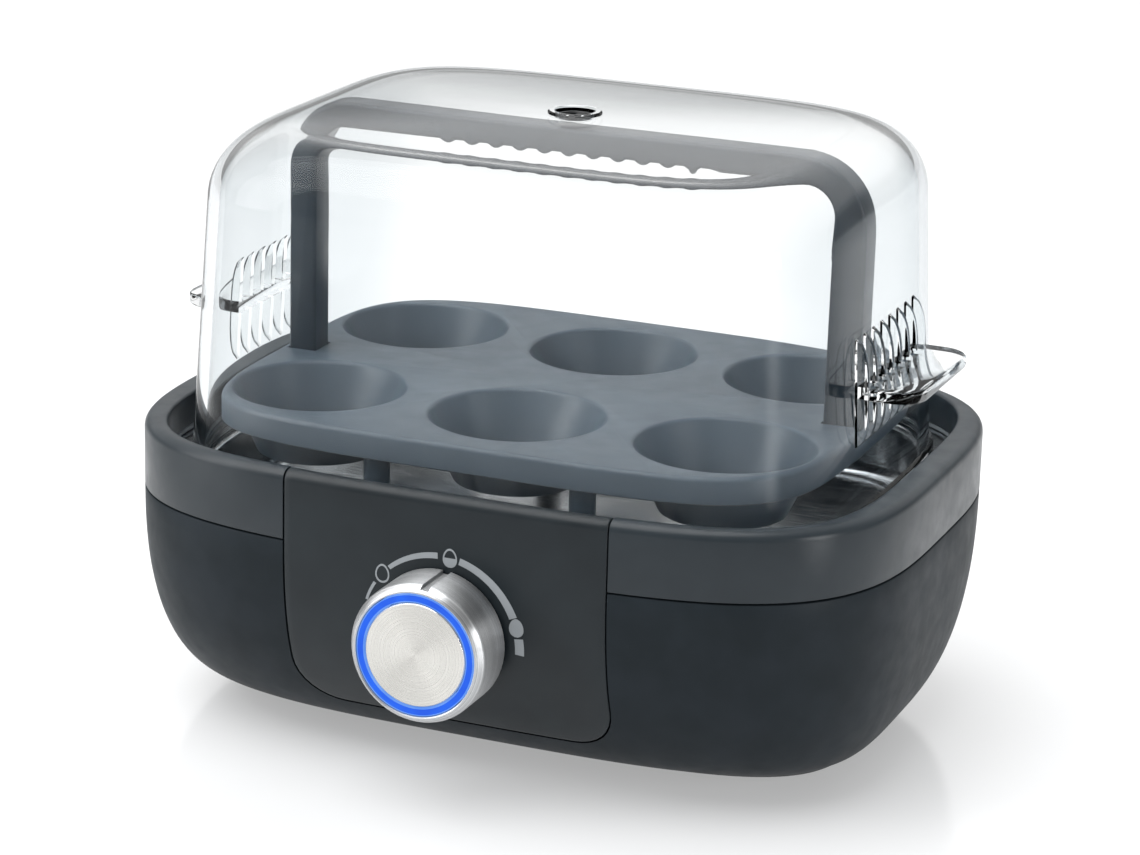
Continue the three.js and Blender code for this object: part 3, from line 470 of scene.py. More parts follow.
class Finish:
    """A material under construction, with short names for the nodes that it needs."""

    def __init__(self, name, roughness, metallic=0.0, specular=0.5):
        self.material = bpy.data.materials.new(name)
        self.material.use_nodes = True
        self.tree = self.material.node_tree
        self.shader = self.tree.nodes["Principled BSDF"]
        self.shader.inputs["Roughness"].default_value = roughness
        self.shader.inputs["Metallic"].default_value = metallic
        self.shader.inputs["Specular IOR Level"].default_value = specular
        self.coordinates = self.add("TexCoord")
        self.place = self.coordinates.outputs["Object"]

    def add(self, kind, *sources, **settings):
        """A node in this material."""
        return add_node(self.tree, kind, *sources, **settings)

    def noise(self, size, detail=3.0, stretch=(1, 1, 1)):
        """Noise whose lumps are about size millimetres across."""
        mapping = self.add("Mapping", self.place)
        mapping.inputs["Scale"].default_value = stretch
        return self.noise_along(mapping.outputs["Vector"], size, detail)

    def noise_along(self, vector, size, detail):
        """Noise that is read at a vector of the material's own."""
        texture = self.add("TexNoise", vector)
        texture.inputs["Scale"].default_value = 1 / (size * MM)
        texture.inputs["Detail"].default_value = detail
        return texture.outputs["Fac"]

    def blend(self, factor, first, second, low=0.35, high=0.65):
        """A colour that runs from first to second as factor goes from low to high."""
        ramp = self.add("ValToRGB", factor)
        for element, position, colour in zip(ramp.color_ramp.elements, (low, high), (first, second)):
            element.position = position
            element.color = tint(colour)
        return ramp.outputs["Color"]

    def spread(self, factor, low, high):
        """A number that runs from low to high as noise goes from its usual low to its usual high."""
        return self.add("MapRange", factor, 0.3, 0.7, low, high).outputs["Result"]

    def bump(self, height, depth):
        """Raises the surface by up to depth millimetres."""
        bump = self.add("Bump")
        bump.inputs["Distance"].default_value = depth * MM
        self.tree.links.new(height, bump.inputs["Height"])
        self.feed("Normal", bump.outputs["Normal"])

    def feed(self, socket, source):
        """Links a node's output to one of the shader's sockets."""
        self.tree.links.new(source, self.shader.inputs[socket])


def moulded(name, dark, light, roughness, grain=0.3, depth=0.003, specular=0.4):
    """Moulded plastic with a fine spark-eroded grain and slight variation in colour and gloss."""
    made = Finish(name, roughness, specular=specular)
    made.feed("Base Color", made.blend(made.noise(14.0), dark, light))
    made.feed("Roughness", made.spread(made.noise(5.0, 4.0), roughness - 0.04, roughness + 0.05))
    made.bump(made.noise(grain, 2.0), depth)
    return made.material


def metal(name, dark, light, roughness, stretch=(1, 1, 1), depth=0.004):
    """Worked metal, whose marks run along the directions that stretch is small in."""
    made = Finish(name, roughness, 1.0)
    marks = made.noise(0.4, stretch=stretch)
    made.feed("Base Color", made.blend(marks, dark, light))
    made.feed("Roughness", made.spread(marks, roughness - 0.06, roughness + 0.08))
    made.bump(marks, depth)
    return made.material


def turned_metal(name, dark, light, roughness, anisotropy):
    """Metal turned on a lathe: fine grooves round the axis that points at the user."""
    made = Finish(name, roughness, 1.0)
    made.shader.inputs["Anisotropic"].default_value = anisotropy
    made.shader.inputs["Anisotropic Rotation"].default_value = 0.25
    made.feed("Tangent", made.add("Tangent", direction_type="RADIAL", axis="Y").outputs["Tangent"])
    centred = made.add("VectorMath", made.place, (0, 0, DIAL_HEIGHT * MM), operation="SUBTRACT")
    apart = made.add("SeparateXYZ", centred.outputs["Vector"])
    flat = made.add("CombineXYZ", apart.outputs["X"], apart.outputs["Z"])
    length = made.add("VectorMath", flat.outputs["Vector"], operation="LENGTH")
    rounds = made.add("CombineXYZ", length.outputs["Value"], apart.outputs["Y"])
    grooves = made.noise_along(rounds.outputs["Vector"], 0.12, 2.0)
    made.feed("Base Color", made.blend(grooves, dark, light))
    made.feed("Roughness", made.spread(grooves, roughness - 0.05, roughness + 0.05))
    made.bump(grooves, 0.002)
    return made.material


def clear_plastic(name):
    """Clear moulded plastic with faint flow marks, which lets lamps light what is behind it; its colour
    carries painted shade, greyer where it is seen edge-on and on its end walls.
    """
    made = Finish(name, 0.02)
    # painted shade: the colour greys where the lid is seen edge-on, and on the end walls that face the sides
    slant = made.add("LayerWeight", 0.5)
    edges = made.blend(slant.outputs["Facing"], "#ffffff", "#a3adb1", 0.76, 1.0)
    apart = made.add("SeparateXYZ", made.coordinates.outputs["Normal"])
    along = made.add("Math", apart.outputs["X"], operation="ABSOLUTE")
    ends = made.blend(along.outputs["Value"], "#fdfefe", "#e3e7e9", 0.45, 1.0)
    painted_shade_tint = made.add("VectorMath", edges, ends, operation="MULTIPLY")
    made.feed("Base Color", painted_shade_tint.outputs["Vector"])
    made.shader.inputs["Transmission Weight"].default_value = 1.0
    made.shader.inputs["IOR"].default_value = 1.16
    made.bump(made.noise(38.0, 1.0, (1, 1, 0.35)), 0.03)
    passing = made.add("BsdfTransparent", (0.93, 0.95, 0.96, 1))
    shadow = made.add("LightPath").outputs["Is Shadow Ray"]
    mix = made.add("MixShader", shadow, made.shader.outputs["BSDF"], passing.outputs["BSDF"])
    made.tree.links.new(mix.outputs["Shader"], made.tree.nodes["Material Output"].inputs["Surface"])
    return made.material


def glowing(name, dark, light, strength):
    """A light guide that glows, a little uneven round its lamps; the same finish paints the pale halo of its
    glow.
    """
    made = Finish(name, 0.4, specular=0.2)
    made.shader.inputs["Base Color"].default_value = (0.01, 0.03, 0.1, 1)
    made.feed("Emission Color", made.blend(made.noise(5.0, 1.0), dark, light))
    made.shader.inputs["Emission Strength"].default_value = strength
    return made.material


def circuit_board(name):
    """A green board with paler tracks under its varnish."""
    made = Finish(name, 0.35)
    tracks = made.add("TexVoronoi", made.place, distance="MANHATTAN", feature="DISTANCE_TO_EDGE")
    tracks.inputs["Scale"].default_value = 1 / (4 * MM)
    made.feed("Base Color", made.blend(tracks.outputs["Distance"], "#3f8a55", "#174a2b", 0.05, 0.09))
    made.bump(made.noise(1.5), 0.02)
    return made.material


ANTHRACITE = moulded("anthracite", "#1f2529", "#242a2f", 0.46, specular=0.1)
ANTHRACITE_BAND = moulded("anthracite_band", "#242b30", "#293035", 0.33, depth=0.004, specular=0.3)
ANTHRACITE_PANEL = moulded("anthracite_panel", "#1a2024", "#1e2529", 0.38, specular=0.28)
SLATE = moulded("slate", "#3b444c", "#414a52", 0.38, specular=0.35)
SLATE_HANDLE = moulded("slate_handle", "#222a31", "#272f36", 0.34, specular=0.3)
DARK_PLASTIC = moulded("dark_plastic", "#15181a", "#1b1f22", 0.5)
UNDERSIDE = moulded("underside_plastic", "#202529", "#262c30", 0.55, grain=0.6)
VENT_PLASTIC = moulded("vent_plastic", "#111315", "#181b1d", 0.32)
RUBBER = moulded("rubber", "#121314", "#1b1c1e", 0.8, grain=0.8, depth=0.03)
SILICONE = moulded("silicone", "#84898d", "#92979b", 0.6, grain=1.0)
CASING = moulded("casing", "#1c2227", "#262d34", 0.45)
PRINT = moulded("dial_print", "#8f9498", "#989da1", 0.5)
CLEAR = clear_plastic("clear_lid")
STEEL = metal("bowl_steel", "#b9bcbf", "#d2d4d6", 0.18, (0.06, 1, 1), depth=0.0004)
ZINC = metal("zinc", "#8d9194", "#b3b6b9", 0.36)
ELEMENT = metal("element_steel", "#7f7a74", "#a09a92", 0.42)
ALUMINIUM = metal("aluminium", "#a5a9ac", "#c3c6c8", 0.38, (1, 0.1, 1))
BRASS = metal("brass", "#9f7f3f", "#c4a25c", 0.3)
BRUSHED = turned_metal("brushed_metal", "#a2a4a6", "#d6d7d8", 0.36, 0.8)
SPUN = turned_metal("spun_metal", "#cfcdc8", "#e2e0db", 0.28, 0.9)
BLUE_LIGHT = glowing("blue_light", "#0850e0", "#0d60ee", 0.95)
# painted glow: the pale halo at the light ring's edges
PAINTED_HALO_LIGHT = glowing("painted_halo_light", "#5f93ee", "#7ba8f5", 0.9)
BOARD = circuit_board("circuit_board")


def finish(obj, material, body, slot=None, *nodes):
    """Gives a piece its material and body, and hides the CAD nodes that it stands for; its record slot is not
    used.
    """
    obj.data.materials.clear()
    obj.data.materials.append(material)
    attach(obj, body)
    if nodes:
        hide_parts(*nodes)
    return obj


# ---------------------------------------------------------------- front panel


def panel_half(z, margin):
    """Half the panel's width at height z, with its lower corners round."""
    half, bottom, corner = PANEL_HALF + margin, PANEL_BOTTOM - margin, PANEL_CORNER + margin
    above = z - bottom
    if above >= corner:
        return half
    return half - corner + math.sqrt(max(0.0, corner**2 - (corner - above) ** 2))


def panel_corner_heights(margin):
    """Heights that divide the lower corners evenly."""
    bottom, corner = PANEL_BOTTOM - margin, PANEL_CORNER + margin
    return [bottom + corner * (1 - math.cos(turn)) for turn in quarter_turns(8)]


def on_ring(ring, x):
    """How far forward a superellipse reaches at x."""
    half_length, half_depth, squareness, _ = ring
    return -half_depth * (1 - abs(x / half_length) ** squareness) ** (1 / squareness)


def panel_rows(margin, depth):
    """The panel's levels as (ring, half width), at a depth under its face."""
    heights = panel_corner_heights(margin)
    heights += belly_heights(heights[-1], SEAM, 10)[1:]
    rows = [(body_ring(z, depth), panel_half(z, margin)) for z in heights]
    shrink = depth / RIM_FILLET
    half = panel_half(RIM_TOP, margin)
    for z, inset in rim_edge():
        lower = z - (z - RIM_TOP + RIM_FILLET) * shrink
        inward = inset + (RIM_FILLET - inset) * shrink
        rows.append((body_ring(lower, inward), half))
    rows.append((body_ring(RIM_TOP - depth, PANEL_WRAP + SEAM_GAP + margin), half))
    return rows


def panel_columns(half):
    """Places from one side of the panel to the other."""
    return [half * (2 * i / PANEL_COLUMNS - 1) for i in range(PANEL_COLUMNS + 1)]


def panel_grid(margin, depth):
    """Rows of points over the panel's surface."""
    grid = []
    for ring, half in panel_rows(margin, depth):
        grid.append([(x, on_ring(ring, x), ring[3]) for x in panel_columns(half)])
    return grid


def border(grid):
    """The points round the edge of a grid, in order."""
    left = [row[0] for row in grid]
    right = [row[-1] for row in grid]
    return grid[0][:-1] + right[:-1] + grid[-1][:0:-1] + left[:0:-1]


def sheet_faces(vertices, faces, grid):
    """Adds a grid's points and squares, and returns the numbers of its border."""
    start, width = len(vertices), len(grid[0])
    numbers = [[start + r * width + c for c in range(width)] for r in range(len(grid))]
    vertices.extend(point for row in grid for point in row)
    for low, high in zip(numbers, numbers[1:]):
        faces.extend([low[c], low[c + 1], high[c + 1], high[c]] for c in range(width - 1))
    return border(numbers)


def shell_of(name, front, rims, back):
    """A closed body from a front grid, border lines behind it and a back grid."""
    vertices, faces = [], []
    loops = [sheet_faces(vertices, faces, front)]
    for line in rims:
        loops.append(list(range(len(vertices), len(vertices) + len(line))))
        vertices.extend(line)
    loops.append(sheet_faces(vertices, faces, back))
    for low, high in zip(loops, loops[1:]):
        count = len(low)
        nexts = [(i, (i + 1) % count) for i in range(count)]
        faces.extend([low[i], low[j], high[j], high[i]] for i, j in nexts)
    return piece(name, vertices, faces)


def panel_pocket():
    """What the front panel takes out of the shell and the rim band."""
    heights = [*panel_corner_heights(0.0), RIM_TOP + POCKET_ABOVE]
    front, back = [], []
    for z in heights:
        xs = panel_columns(panel_half(z, 0.0))
        wall = body_ring(min(z, RIM_TOP), PANEL_WRAP + SEAM_GAP)
        front.append([(x, -BODY_HALF[1] - POCKET_REACH, z) for x in xs])
        back.append([(x, on_ring(wall, x), z) for x in xs])
    return shell_of("pocket", front, [], back)


def front_panel():
    """The front panel, which wraps over the rim, with its seat behind the dial."""
    margin = -SEAM_GAP
    rims = []
    for turn in (0.5, 1.0, 1.57):
        narrower = EDGE * (1 - math.sin(turn))
        deeper = EDGE * (1 - math.cos(turn))
        rims.append(border(panel_grid(margin - narrower, deeper)))
    front = panel_grid(margin - EDGE, 0.0)
    back = panel_grid(margin - EDGE, PANEL_WALL)
    rims.append(border(panel_grid(margin, PANEL_WALL)))
    panel = shell_of("panel", front, rims, back)
    profile = [
        (0, -SEAT_DEPTH),
        (SEAT_RADIUS, -SEAT_DEPTH),
        (SEAT_RADIUS, -SEAT_CHAMFER),
        (SEAT_RADIUS - SEAT_CHAMFER, 0),
        (0, 0),
    ]
    seat = round_lathe("seat", profile, facing="front", place=(0, SEAT_GAP - DIAL_BACK, DIAL_HEIGHT))
    return join(panel, seat)


# ---------------------------------------------------------------- body


def hoop(name, outer, inner):
    """A ring of material between outer and inner levels."""
    return lathe(name, [*outer, *reversed(inner)], BODY_TURNS, closed=True)


def corner_blocks(margin, low, high):
    """Blocks that keep the four corners of the body."""
    made = []
    for side_x, side_y in CORNER_SIGNS:
        xs = sorted([side_x * (FOOT_INNER_END + margin), side_x * (BODY_HALF[0] + CUTTER_MARGIN)])
        ys = sorted([side_y * (FOOT_SIDE_END + margin), side_y * (BODY_HALF[1] + CUTTER_MARGIN)])
        made.append(block("corner", (xs[0], ys[0], low), (xs[1], ys[1], high)))
    return made


def foot_outer(z, outset):
    """The outer line of the feet."""
    return grown(BASE_HALF, outset - PAD_MARGIN, BODY_POWER, z)


def plate_ring(z, outset=0.0):
    """The outline of the base plate."""
    return grown(PLATE_HALF, outset, BODY_POWER, z)


def rear_lathe(name, profile, closed=False):
    """A round piece on the gland's axis, whose profile runs from the front to the back."""
    return round_lathe(name, profile, closed=closed, facing="back", place=(0, 0, GLAND_HEIGHT))


def gland_seat():
    """How far back the flat seat of the gland lies."""
    return body_ring(GLAND_HEIGHT - GLAND_LIP - CLEARANCE)[1]


def housing_shell():
    """The moulded shell with its feet."""
    floor_top = SHELL_BOTTOM + SHELL_WALL
    ledge_bottom = PLATE_TOP + CLEARANCE
    outside = [body_ring(z) for z in belly_heights(SHELL_BOTTOM, SEAM - EDGE, 30)]
    inside = [body_ring(z, SHELL_WALL) for z in belly_heights(floor_top + 0.5, SEAM, 16)]
    shell = lathe(
        "shell",
        [
            plate_ring(ledge_bottom, CLEARANCE),
            plate_ring(SHELL_BOTTOM, CLEARANCE),
            *outside,
            body_ring(SEAM - EDGE / 3, EDGE / 3),
            body_ring(SEAM, EDGE),
            *reversed(inside),
            plate_ring(floor_top + 0.5, CLEARANCE + SHELL_WALL),
            plate_ring(ledge_bottom + 2, CLEARANCE + SHELL_WALL),
            plate_ring(ledge_bottom + 2, -6),
            plate_ring(ledge_bottom, -6),
        ],
        BODY_TURNS,
        closed=True,
    )
    for tool in corner_blocks(0, -1, FOOT_TOP + 1):
        edge_top = FOOT_BOTTOM + FOOT_CHAMFER
        outer = [
            foot_outer(FOOT_BOTTOM, PAD_MARGIN + FOOT_CHAMFER),
            foot_outer(edge_top, PAD_MARGIN + 1),
            body_ring(FOOT_TOP, CLEARANCE),
        ]
        inner = [plate_ring(FOOT_BOTTOM, 1), plate_ring(edge_top, 1), plate_ring(FOOT_TOP, 1.5)]
        foot = hoop("foot", outer, inner)
        keep(foot, tool)
        join(shell, round_edges(foot, 0.5, 2, 60))
    recess_top = PAD_THICKNESS + CLEARANCE
    for tool in corner_blocks(PAD_MARGIN - CLEARANCE, -2, FOOT_TOP):
        recess = hoop(
            "recess",
            [foot_outer(-1, CLEARANCE), foot_outer(recess_top, CLEARANCE)],
            [plate_ring(-1, 2), plate_ring(recess_top, 2)],
        )
        cut(shell, keep(recess, tool))
    seat = gland_seat()
    hole_radius = GLAND_BORE + GLAND_WALL + CLEARANCE
    hole = rear_lathe("hole", rod(hole_radius, seat - CUTTER_MARGIN, seat + CUTTER_MARGIN))
    sink = rear_lathe("sink", rod(GLAND_LIP + CLEARANCE, seat, seat + CUTTER_MARGIN))
    boss = rear_lathe("boss", rod(GLAND_LIP + BOSS_MARGIN, seat - BOSS_DEPTH, seat + 0.6))
    levels = (20, 26, 30, 34, 40, 46)
    walls = [body_ring(z, 0.4) for z in levels]
    inside_wall = lathe("inner", [axis_point(levels[0]), *walls, axis_point(levels[-1])], BODY_TURNS)
    join(shell, keep(boss, inside_wall))
    return cut(shell, panel_pocket(), hole, sink)


def rim_band():
    """The band round the top, with the recess for the lid."""
    bottom = SEAM + SEAM_GAP
    recess_edge = [recess_ring(RIM_TOP - inset, drop) for drop, inset in rounding(RIM_INNER_FILLET, 4)]
    band = lathe(
        "band",
        [
            body_ring(bottom - 4, 2.8),
            body_ring(bottom, 2.8),
            body_ring(bottom, EDGE),
            body_ring(bottom + EDGE / 3, EDGE / 3),
            body_ring(bottom + EDGE),
            *[body_ring(z, inset) for z, inset in rim_edge()],
            *recess_edge,
            recess_ring(RECESS_BOTTOM),
            recess_ring(RECESS_BOTTOM, 1.6),
            recess_ring(RIM_TOP - 2.2, 1.6),
            body_ring(RIM_TOP - 2.2, 1.9),
            body_ring(bottom + 3, 1.9),
            body_ring(bottom + 2, 4.2),
            body_ring(bottom - 4, 4.2),
        ],
        BODY_TURNS,
        closed=True,
    )
    return cut(band, panel_pocket())


def bowl_corner(radius):
    """The rounding between the bowl's floor and its wall, on its outer or its inner face."""
    rings = []
    for turn in quarter_turns(8):
        outset = radius * math.sin(turn) - BOWL_CORNER
        height = BOWL_FLOOR + BOWL_CORNER - radius * math.cos(turn)
        rings.append(grown(BOWL_HALF, outset, LID_POWER, height))
    return rings


def heating_bowl():
    """The steel water bowl with its flange."""
    flange_bottom = FLANGE_TOP - BOWL_SHEET
    return lathe(
        "bowl",
        [
            axis_point(BOWL_FLOOR),
            *bowl_corner(BOWL_CORNER),
            grown(BOWL_HALF, 0, LID_POWER, flange_bottom),
            recess_ring(flange_bottom, 1.3),
            recess_ring(FLANGE_TOP, 1.3),
            grown(BOWL_HALF, 0.6, LID_POWER, FLANGE_TOP),
            grown(BOWL_HALF, -0.5, LID_POWER, FLANGE_TOP - 0.5),
            grown(BOWL_HALF, -BOWL_SHEET, LID_POWER, FLANGE_TOP - 1.5),
            *reversed(bowl_corner(BOWL_CORNER - BOWL_SHEET)),
            axis_point(BOWL_FLOOR + BOWL_SHEET),
        ],
        LID_TURNS,
    )


def bowl_gasket():
    """The seal round the bowl's flange."""
    low, high = FLANGE_TOP + CLEARANCE, FLANGE_TOP + CLEARANCE + GASKET_HEIGHT
    return lathe(
        "gasket",
        [recess_ring(low, 0.3), recess_ring(low, 1.3), recess_ring(high, 1.3), recess_ring(high, 0.6),
         recess_ring(high - 0.3, 0.3)],
        BODY_TURNS,
        closed=True,
    )


def base_plate():
    """The plate that closes the base, with vent slots and sunk screw holes."""
    plate = lathe(
        "plate",
        [axis_point(SHELL_BOTTOM), plate_ring(SHELL_BOTTOM, -0.4), plate_ring(SHELL_BOTTOM + 0.4),
         plate_ring(PLATE_TOP), axis_point(PLATE_TOP)],
        BODY_TURNS,
    )
    slots = []
    for i in range(-3, 4):
        near, far = [(i * SLOT_PITCH, y) for y in SLOT_ENDS]
        outline = arc(near, 1, 0, 180, 6) + arc(far, 1, 180, 360, 6)
        slots.append(prism("slot", outline, 0, PLATE_TOP + 1))
    sinks = []
    sink, hole = SCREW_HEAD + CLEARANCE, SCREW_SHANK + CLEARANCE
    depth = SHELL_BOTTOM + SCREW_HEAD_HEIGHT + CLEARANCE
    for x, y in SCREW_PLACES:
        profile = [(0, 0), (sink, 0), (sink, depth), (hole, depth), (hole, CUTTER_MARGIN), (0, CUTTER_MARGIN)]
        sinks.append(round_lathe("sink", profile, place=(x, y, 0)))
    return cut(plate, *slots, *sinks)


def base_screw(number, x, y):
    """A pan-head screw with a cross recess, seen from below."""
    low = SHELL_BOTTOM
    head_top = low + SCREW_HEAD_HEIGHT
    profile = [
        (0, low),
        (SCREW_HEAD - 0.6, low),
        (SCREW_HEAD - 0.2, low + 0.2),
        (SCREW_HEAD, low + 0.6),
        (SCREW_HEAD, head_top),
        (SCREW_SHANK, head_top),
        (SCREW_SHANK, low + SCREW_LENGTH - 1),
        (0, low + SCREW_LENGTH),
    ]
    screw = round_lathe(f"screw_{number}", profile, place=(x, y, 0))
    bars = [
        block("bar", (x - 1.5, y - 0.3, low - 1), (x + 1.5, y + 0.3, low + 0.8)),
        block("bar", (x - 0.3, y - 1.5, low - 1), (x + 0.3, y + 1.5, low + 0.8)),
    ]
    return cut(screw, *bars)


def foot_pad(number, tool):
    """A rubber pad under one foot."""
    pad = hoop(
        f"pad_{number}",
        [foot_outer(0, -0.4), foot_outer(0.4, 0), foot_outer(PAD_THICKNESS, 0)],
        [plate_ring(0, 2.7), plate_ring(0.4, 2.3), plate_ring(PAD_THICKNESS, 2.3)],
    )
    return keep(pad, tool)


def cord_gland():
    """The grommet in the back wall."""
    seat = gland_seat()
    inner_end, lip = seat - GLAND_INSIDE, seat + CLEARANCE
    outside = GLAND_BORE + GLAND_WALL
    profile = [
        (GLAND_BORE, inner_end),
        (outside, inner_end),
        (outside, lip),
        (GLAND_LIP, lip),
        (GLAND_LIP, GLAND_REACH - 1.2),
        (GLAND_LIP - 0.6, GLAND_REACH - 0.2),
        (GLAND_LIP - 1.1, GLAND_REACH),
        (GLAND_BORE + 0.5, GLAND_REACH),
        (GLAND_BORE, GLAND_REACH - 0.5),
    ]
    return rear_lathe("gland", profile, closed=True)


# ---------------------------------------------------------------- dial


def on_dial(name, profile, closed=False):
    """A round piece on the dial's axis, whose profile runs towards the user."""
    return round_lathe(name, profile, closed=closed, facing="front", place=(0, -DIAL_BACK, DIAL_HEIGHT))


def dial_sleeve():
    """The turned metal skirt of the dial, with its chamfer and pointer groove."""
    inner = DIAL_RADIUS - DIAL_WALL
    lip = LIGHT_OUTER + CLEARANCE
    shoulder = DIAL_DEPTH - DIAL_CHAMFER
    profile = [
        (inner, 0),
        (DIAL_RADIUS - 0.3, 0),
        (DIAL_RADIUS, 0.3),
        (DIAL_RADIUS, shoulder - 0.2),
        (DIAL_RADIUS - 0.2, shoulder + 0.2),
        (lip + 0.5, DIAL_DEPTH - 0.1),
        (lip + 0.25, DIAL_DEPTH),
        (lip, DIAL_DEPTH - 0.15),
        (lip, DIAL_DEPTH - 2),
        (inner, DIAL_DEPTH - 2.4),
    ]
    sleeve = on_dial("sleeve", profile, closed=True)
    turn = math.radians(POINTER_ANGLE)
    low, high = DIAL_RADIUS - POINTER_DEPTH, DIAL_RADIUS + 2
    half = POINTER_WIDTH / 2
    corners = [(-half, low), (half, low), (half, high), (-half, high)]
    cosine, sine = math.cos(turn), math.sin(turn)
    outline = [(x * cosine + z * sine, z * cosine - x * sine) for x, z in corners]
    groove = prism(
        "groove", outline, -1, DIAL_DEPTH + 1, lambda x, z, out: (x, -DIAL_BACK - out, DIAL_HEIGHT + z)
    )
    return cut(sleeve, groove)


def glow_band(name, inner, outer, front):
    """A band of the dial's light, from behind the button to its front."""
    profile = [(inner, GLOW_BACK), (outer, GLOW_BACK), (outer, front), (inner, front)]
    return on_dial(name, profile, closed=True)


def light_ring():
    """The glowing ring round the button."""
    inner, outer = LIGHT_INNER + HALO_WIDTH + GLOW_GAP, LIGHT_OUTER - HALO_WIDTH - GLOW_GAP
    return glow_band("glow", inner, outer, BUTTON_FRONT)


def painted_halo_band(name, inner, outer):
    """A pale band of painted glow, the halo at an edge of the light ring, a little proud of it."""
    return glow_band(name, inner, outer, DIAL_DEPTH - 0.15)


def start_button():
    """The spun metal disc of the start button, with a pocket in its back that the spring goes into."""
    back = BUTTON_FRONT - BUTTON_THICKNESS
    inside, outside = SPRING_POCKET
    profile = [
        (0, back),
        (inside, back),
        (inside, back + SPRING_POCKET_DEPTH),
        (outside, back + SPRING_POCKET_DEPTH),
        (outside, back),
        (BUTTON_RADIUS, back),
        (BUTTON_RADIUS, BUTTON_FRONT - 0.25),
        (BUTTON_RADIUS - 0.25, BUTTON_FRONT),
        (0, BUTTON_FRONT),
    ]
    return on_dial("disc", profile)


def panel_front(x, z):
    """The panel's face at a point of its front view."""
    return on_ring(body_ring(z), x)


def printed(grid):
    """A thin printed patch on the panel, from a grid of (x, z) points about the dial's axis."""
    def lifted(rise):
        rows = [[(x, z + DIAL_HEIGHT) for x, z in row] for row in grid]
        return [[(x, panel_front(x, z) - rise, z) for x, z in row] for row in rows]
    return shell_of("mark", lifted(0.05), [], lifted(-0.1))


def clockwise(radius, angle):
    """A point at an angle clockwise from the top."""
    turn = math.radians(angle)
    return (radius * math.sin(turn), radius * math.cos(turn))


def arc_mark(start, end, start_width, end_width):
    """A printed arc round the dial whose width changes along it."""
    steps = 24
    grid = []
    for side in (-0.5, 0, 0.5):
        row = []
        for i in range(steps + 1):
            share = i / steps
            width = start_width + (end_width - start_width) * share
            row.append(clockwise(MARK_RADIUS + side * width, start + (end - start) * share))
        grid.append(row)
    return printed(grid)


def egg_point(angle, scale, turn):
    """A point of an egg's outline, standing upright at a place round the dial."""
    x, z = clockwise(MARK_RADIUS, angle)
    wide = EGG_HALF[0] * scale * (1 - 0.12 * math.sin(turn))
    return (x + wide * math.cos(turn), z + EGG_HALF[1] * scale * math.sin(turn))


def egg_mark(angle, start, end):
    """A stretch of an egg's outline, drawn as a band."""
    steps = 28
    scales = [EGG_INSIDE + (1 - EGG_INSIDE) * i / 3 for i in range(4)]
    turns = [math.radians(start + (end - start) * i / steps) for i in range(steps + 1)]
    return printed([[egg_point(angle, scale, turn) for turn in turns] for scale in scales])


def egg_fill(angle, level):
    """The lower part of an egg-shaped mark, filled up to a level from -1 to 1."""
    rows = []
    for i in range(13):
        share = -FULL + (level + FULL) * i / 12
        turn = math.asin(share)
        left, right = egg_point(angle, 1, math.pi - turn), egg_point(angle, 1, turn)
        rows.append([(left[0] + (right[0] - left[0]) * j / 12, left[1]) for j in range(13)])
    return printed(rows)


def dial_marks():
    """The printed scale round the dial, from soft to hard, with three egg signs."""
    marks = [
        *[arc_mark(*mark) for mark in ARC_MARKS],
        egg_mark(SOFT_EGG, 0, 180),
        egg_mark(SOFT_EGG, 180, 360),
        egg_mark(MEDIUM_EGG, 0, 180),
        egg_fill(MEDIUM_EGG, 0.0),
        egg_fill(HARD_EGG, FULL),
    ]
    whole = bmesh.new()
    for mark in marks:
        whole.from_mesh(mark.data)
        bpy.data.objects.remove(mark)
    mesh = bpy.data.meshes.new("marks")
    whole.to_mesh(mesh)
    whole.free()
    return add_object("marks", mesh)


# ---------------------------------------------------------------- egg tray and handle


def tray_ring(z, inset=0.0):
    """The tray's outline, with z from its top face."""
    return grown(TRAY_HALF, -inset, LID_POWER, TRAY_TOP + z)


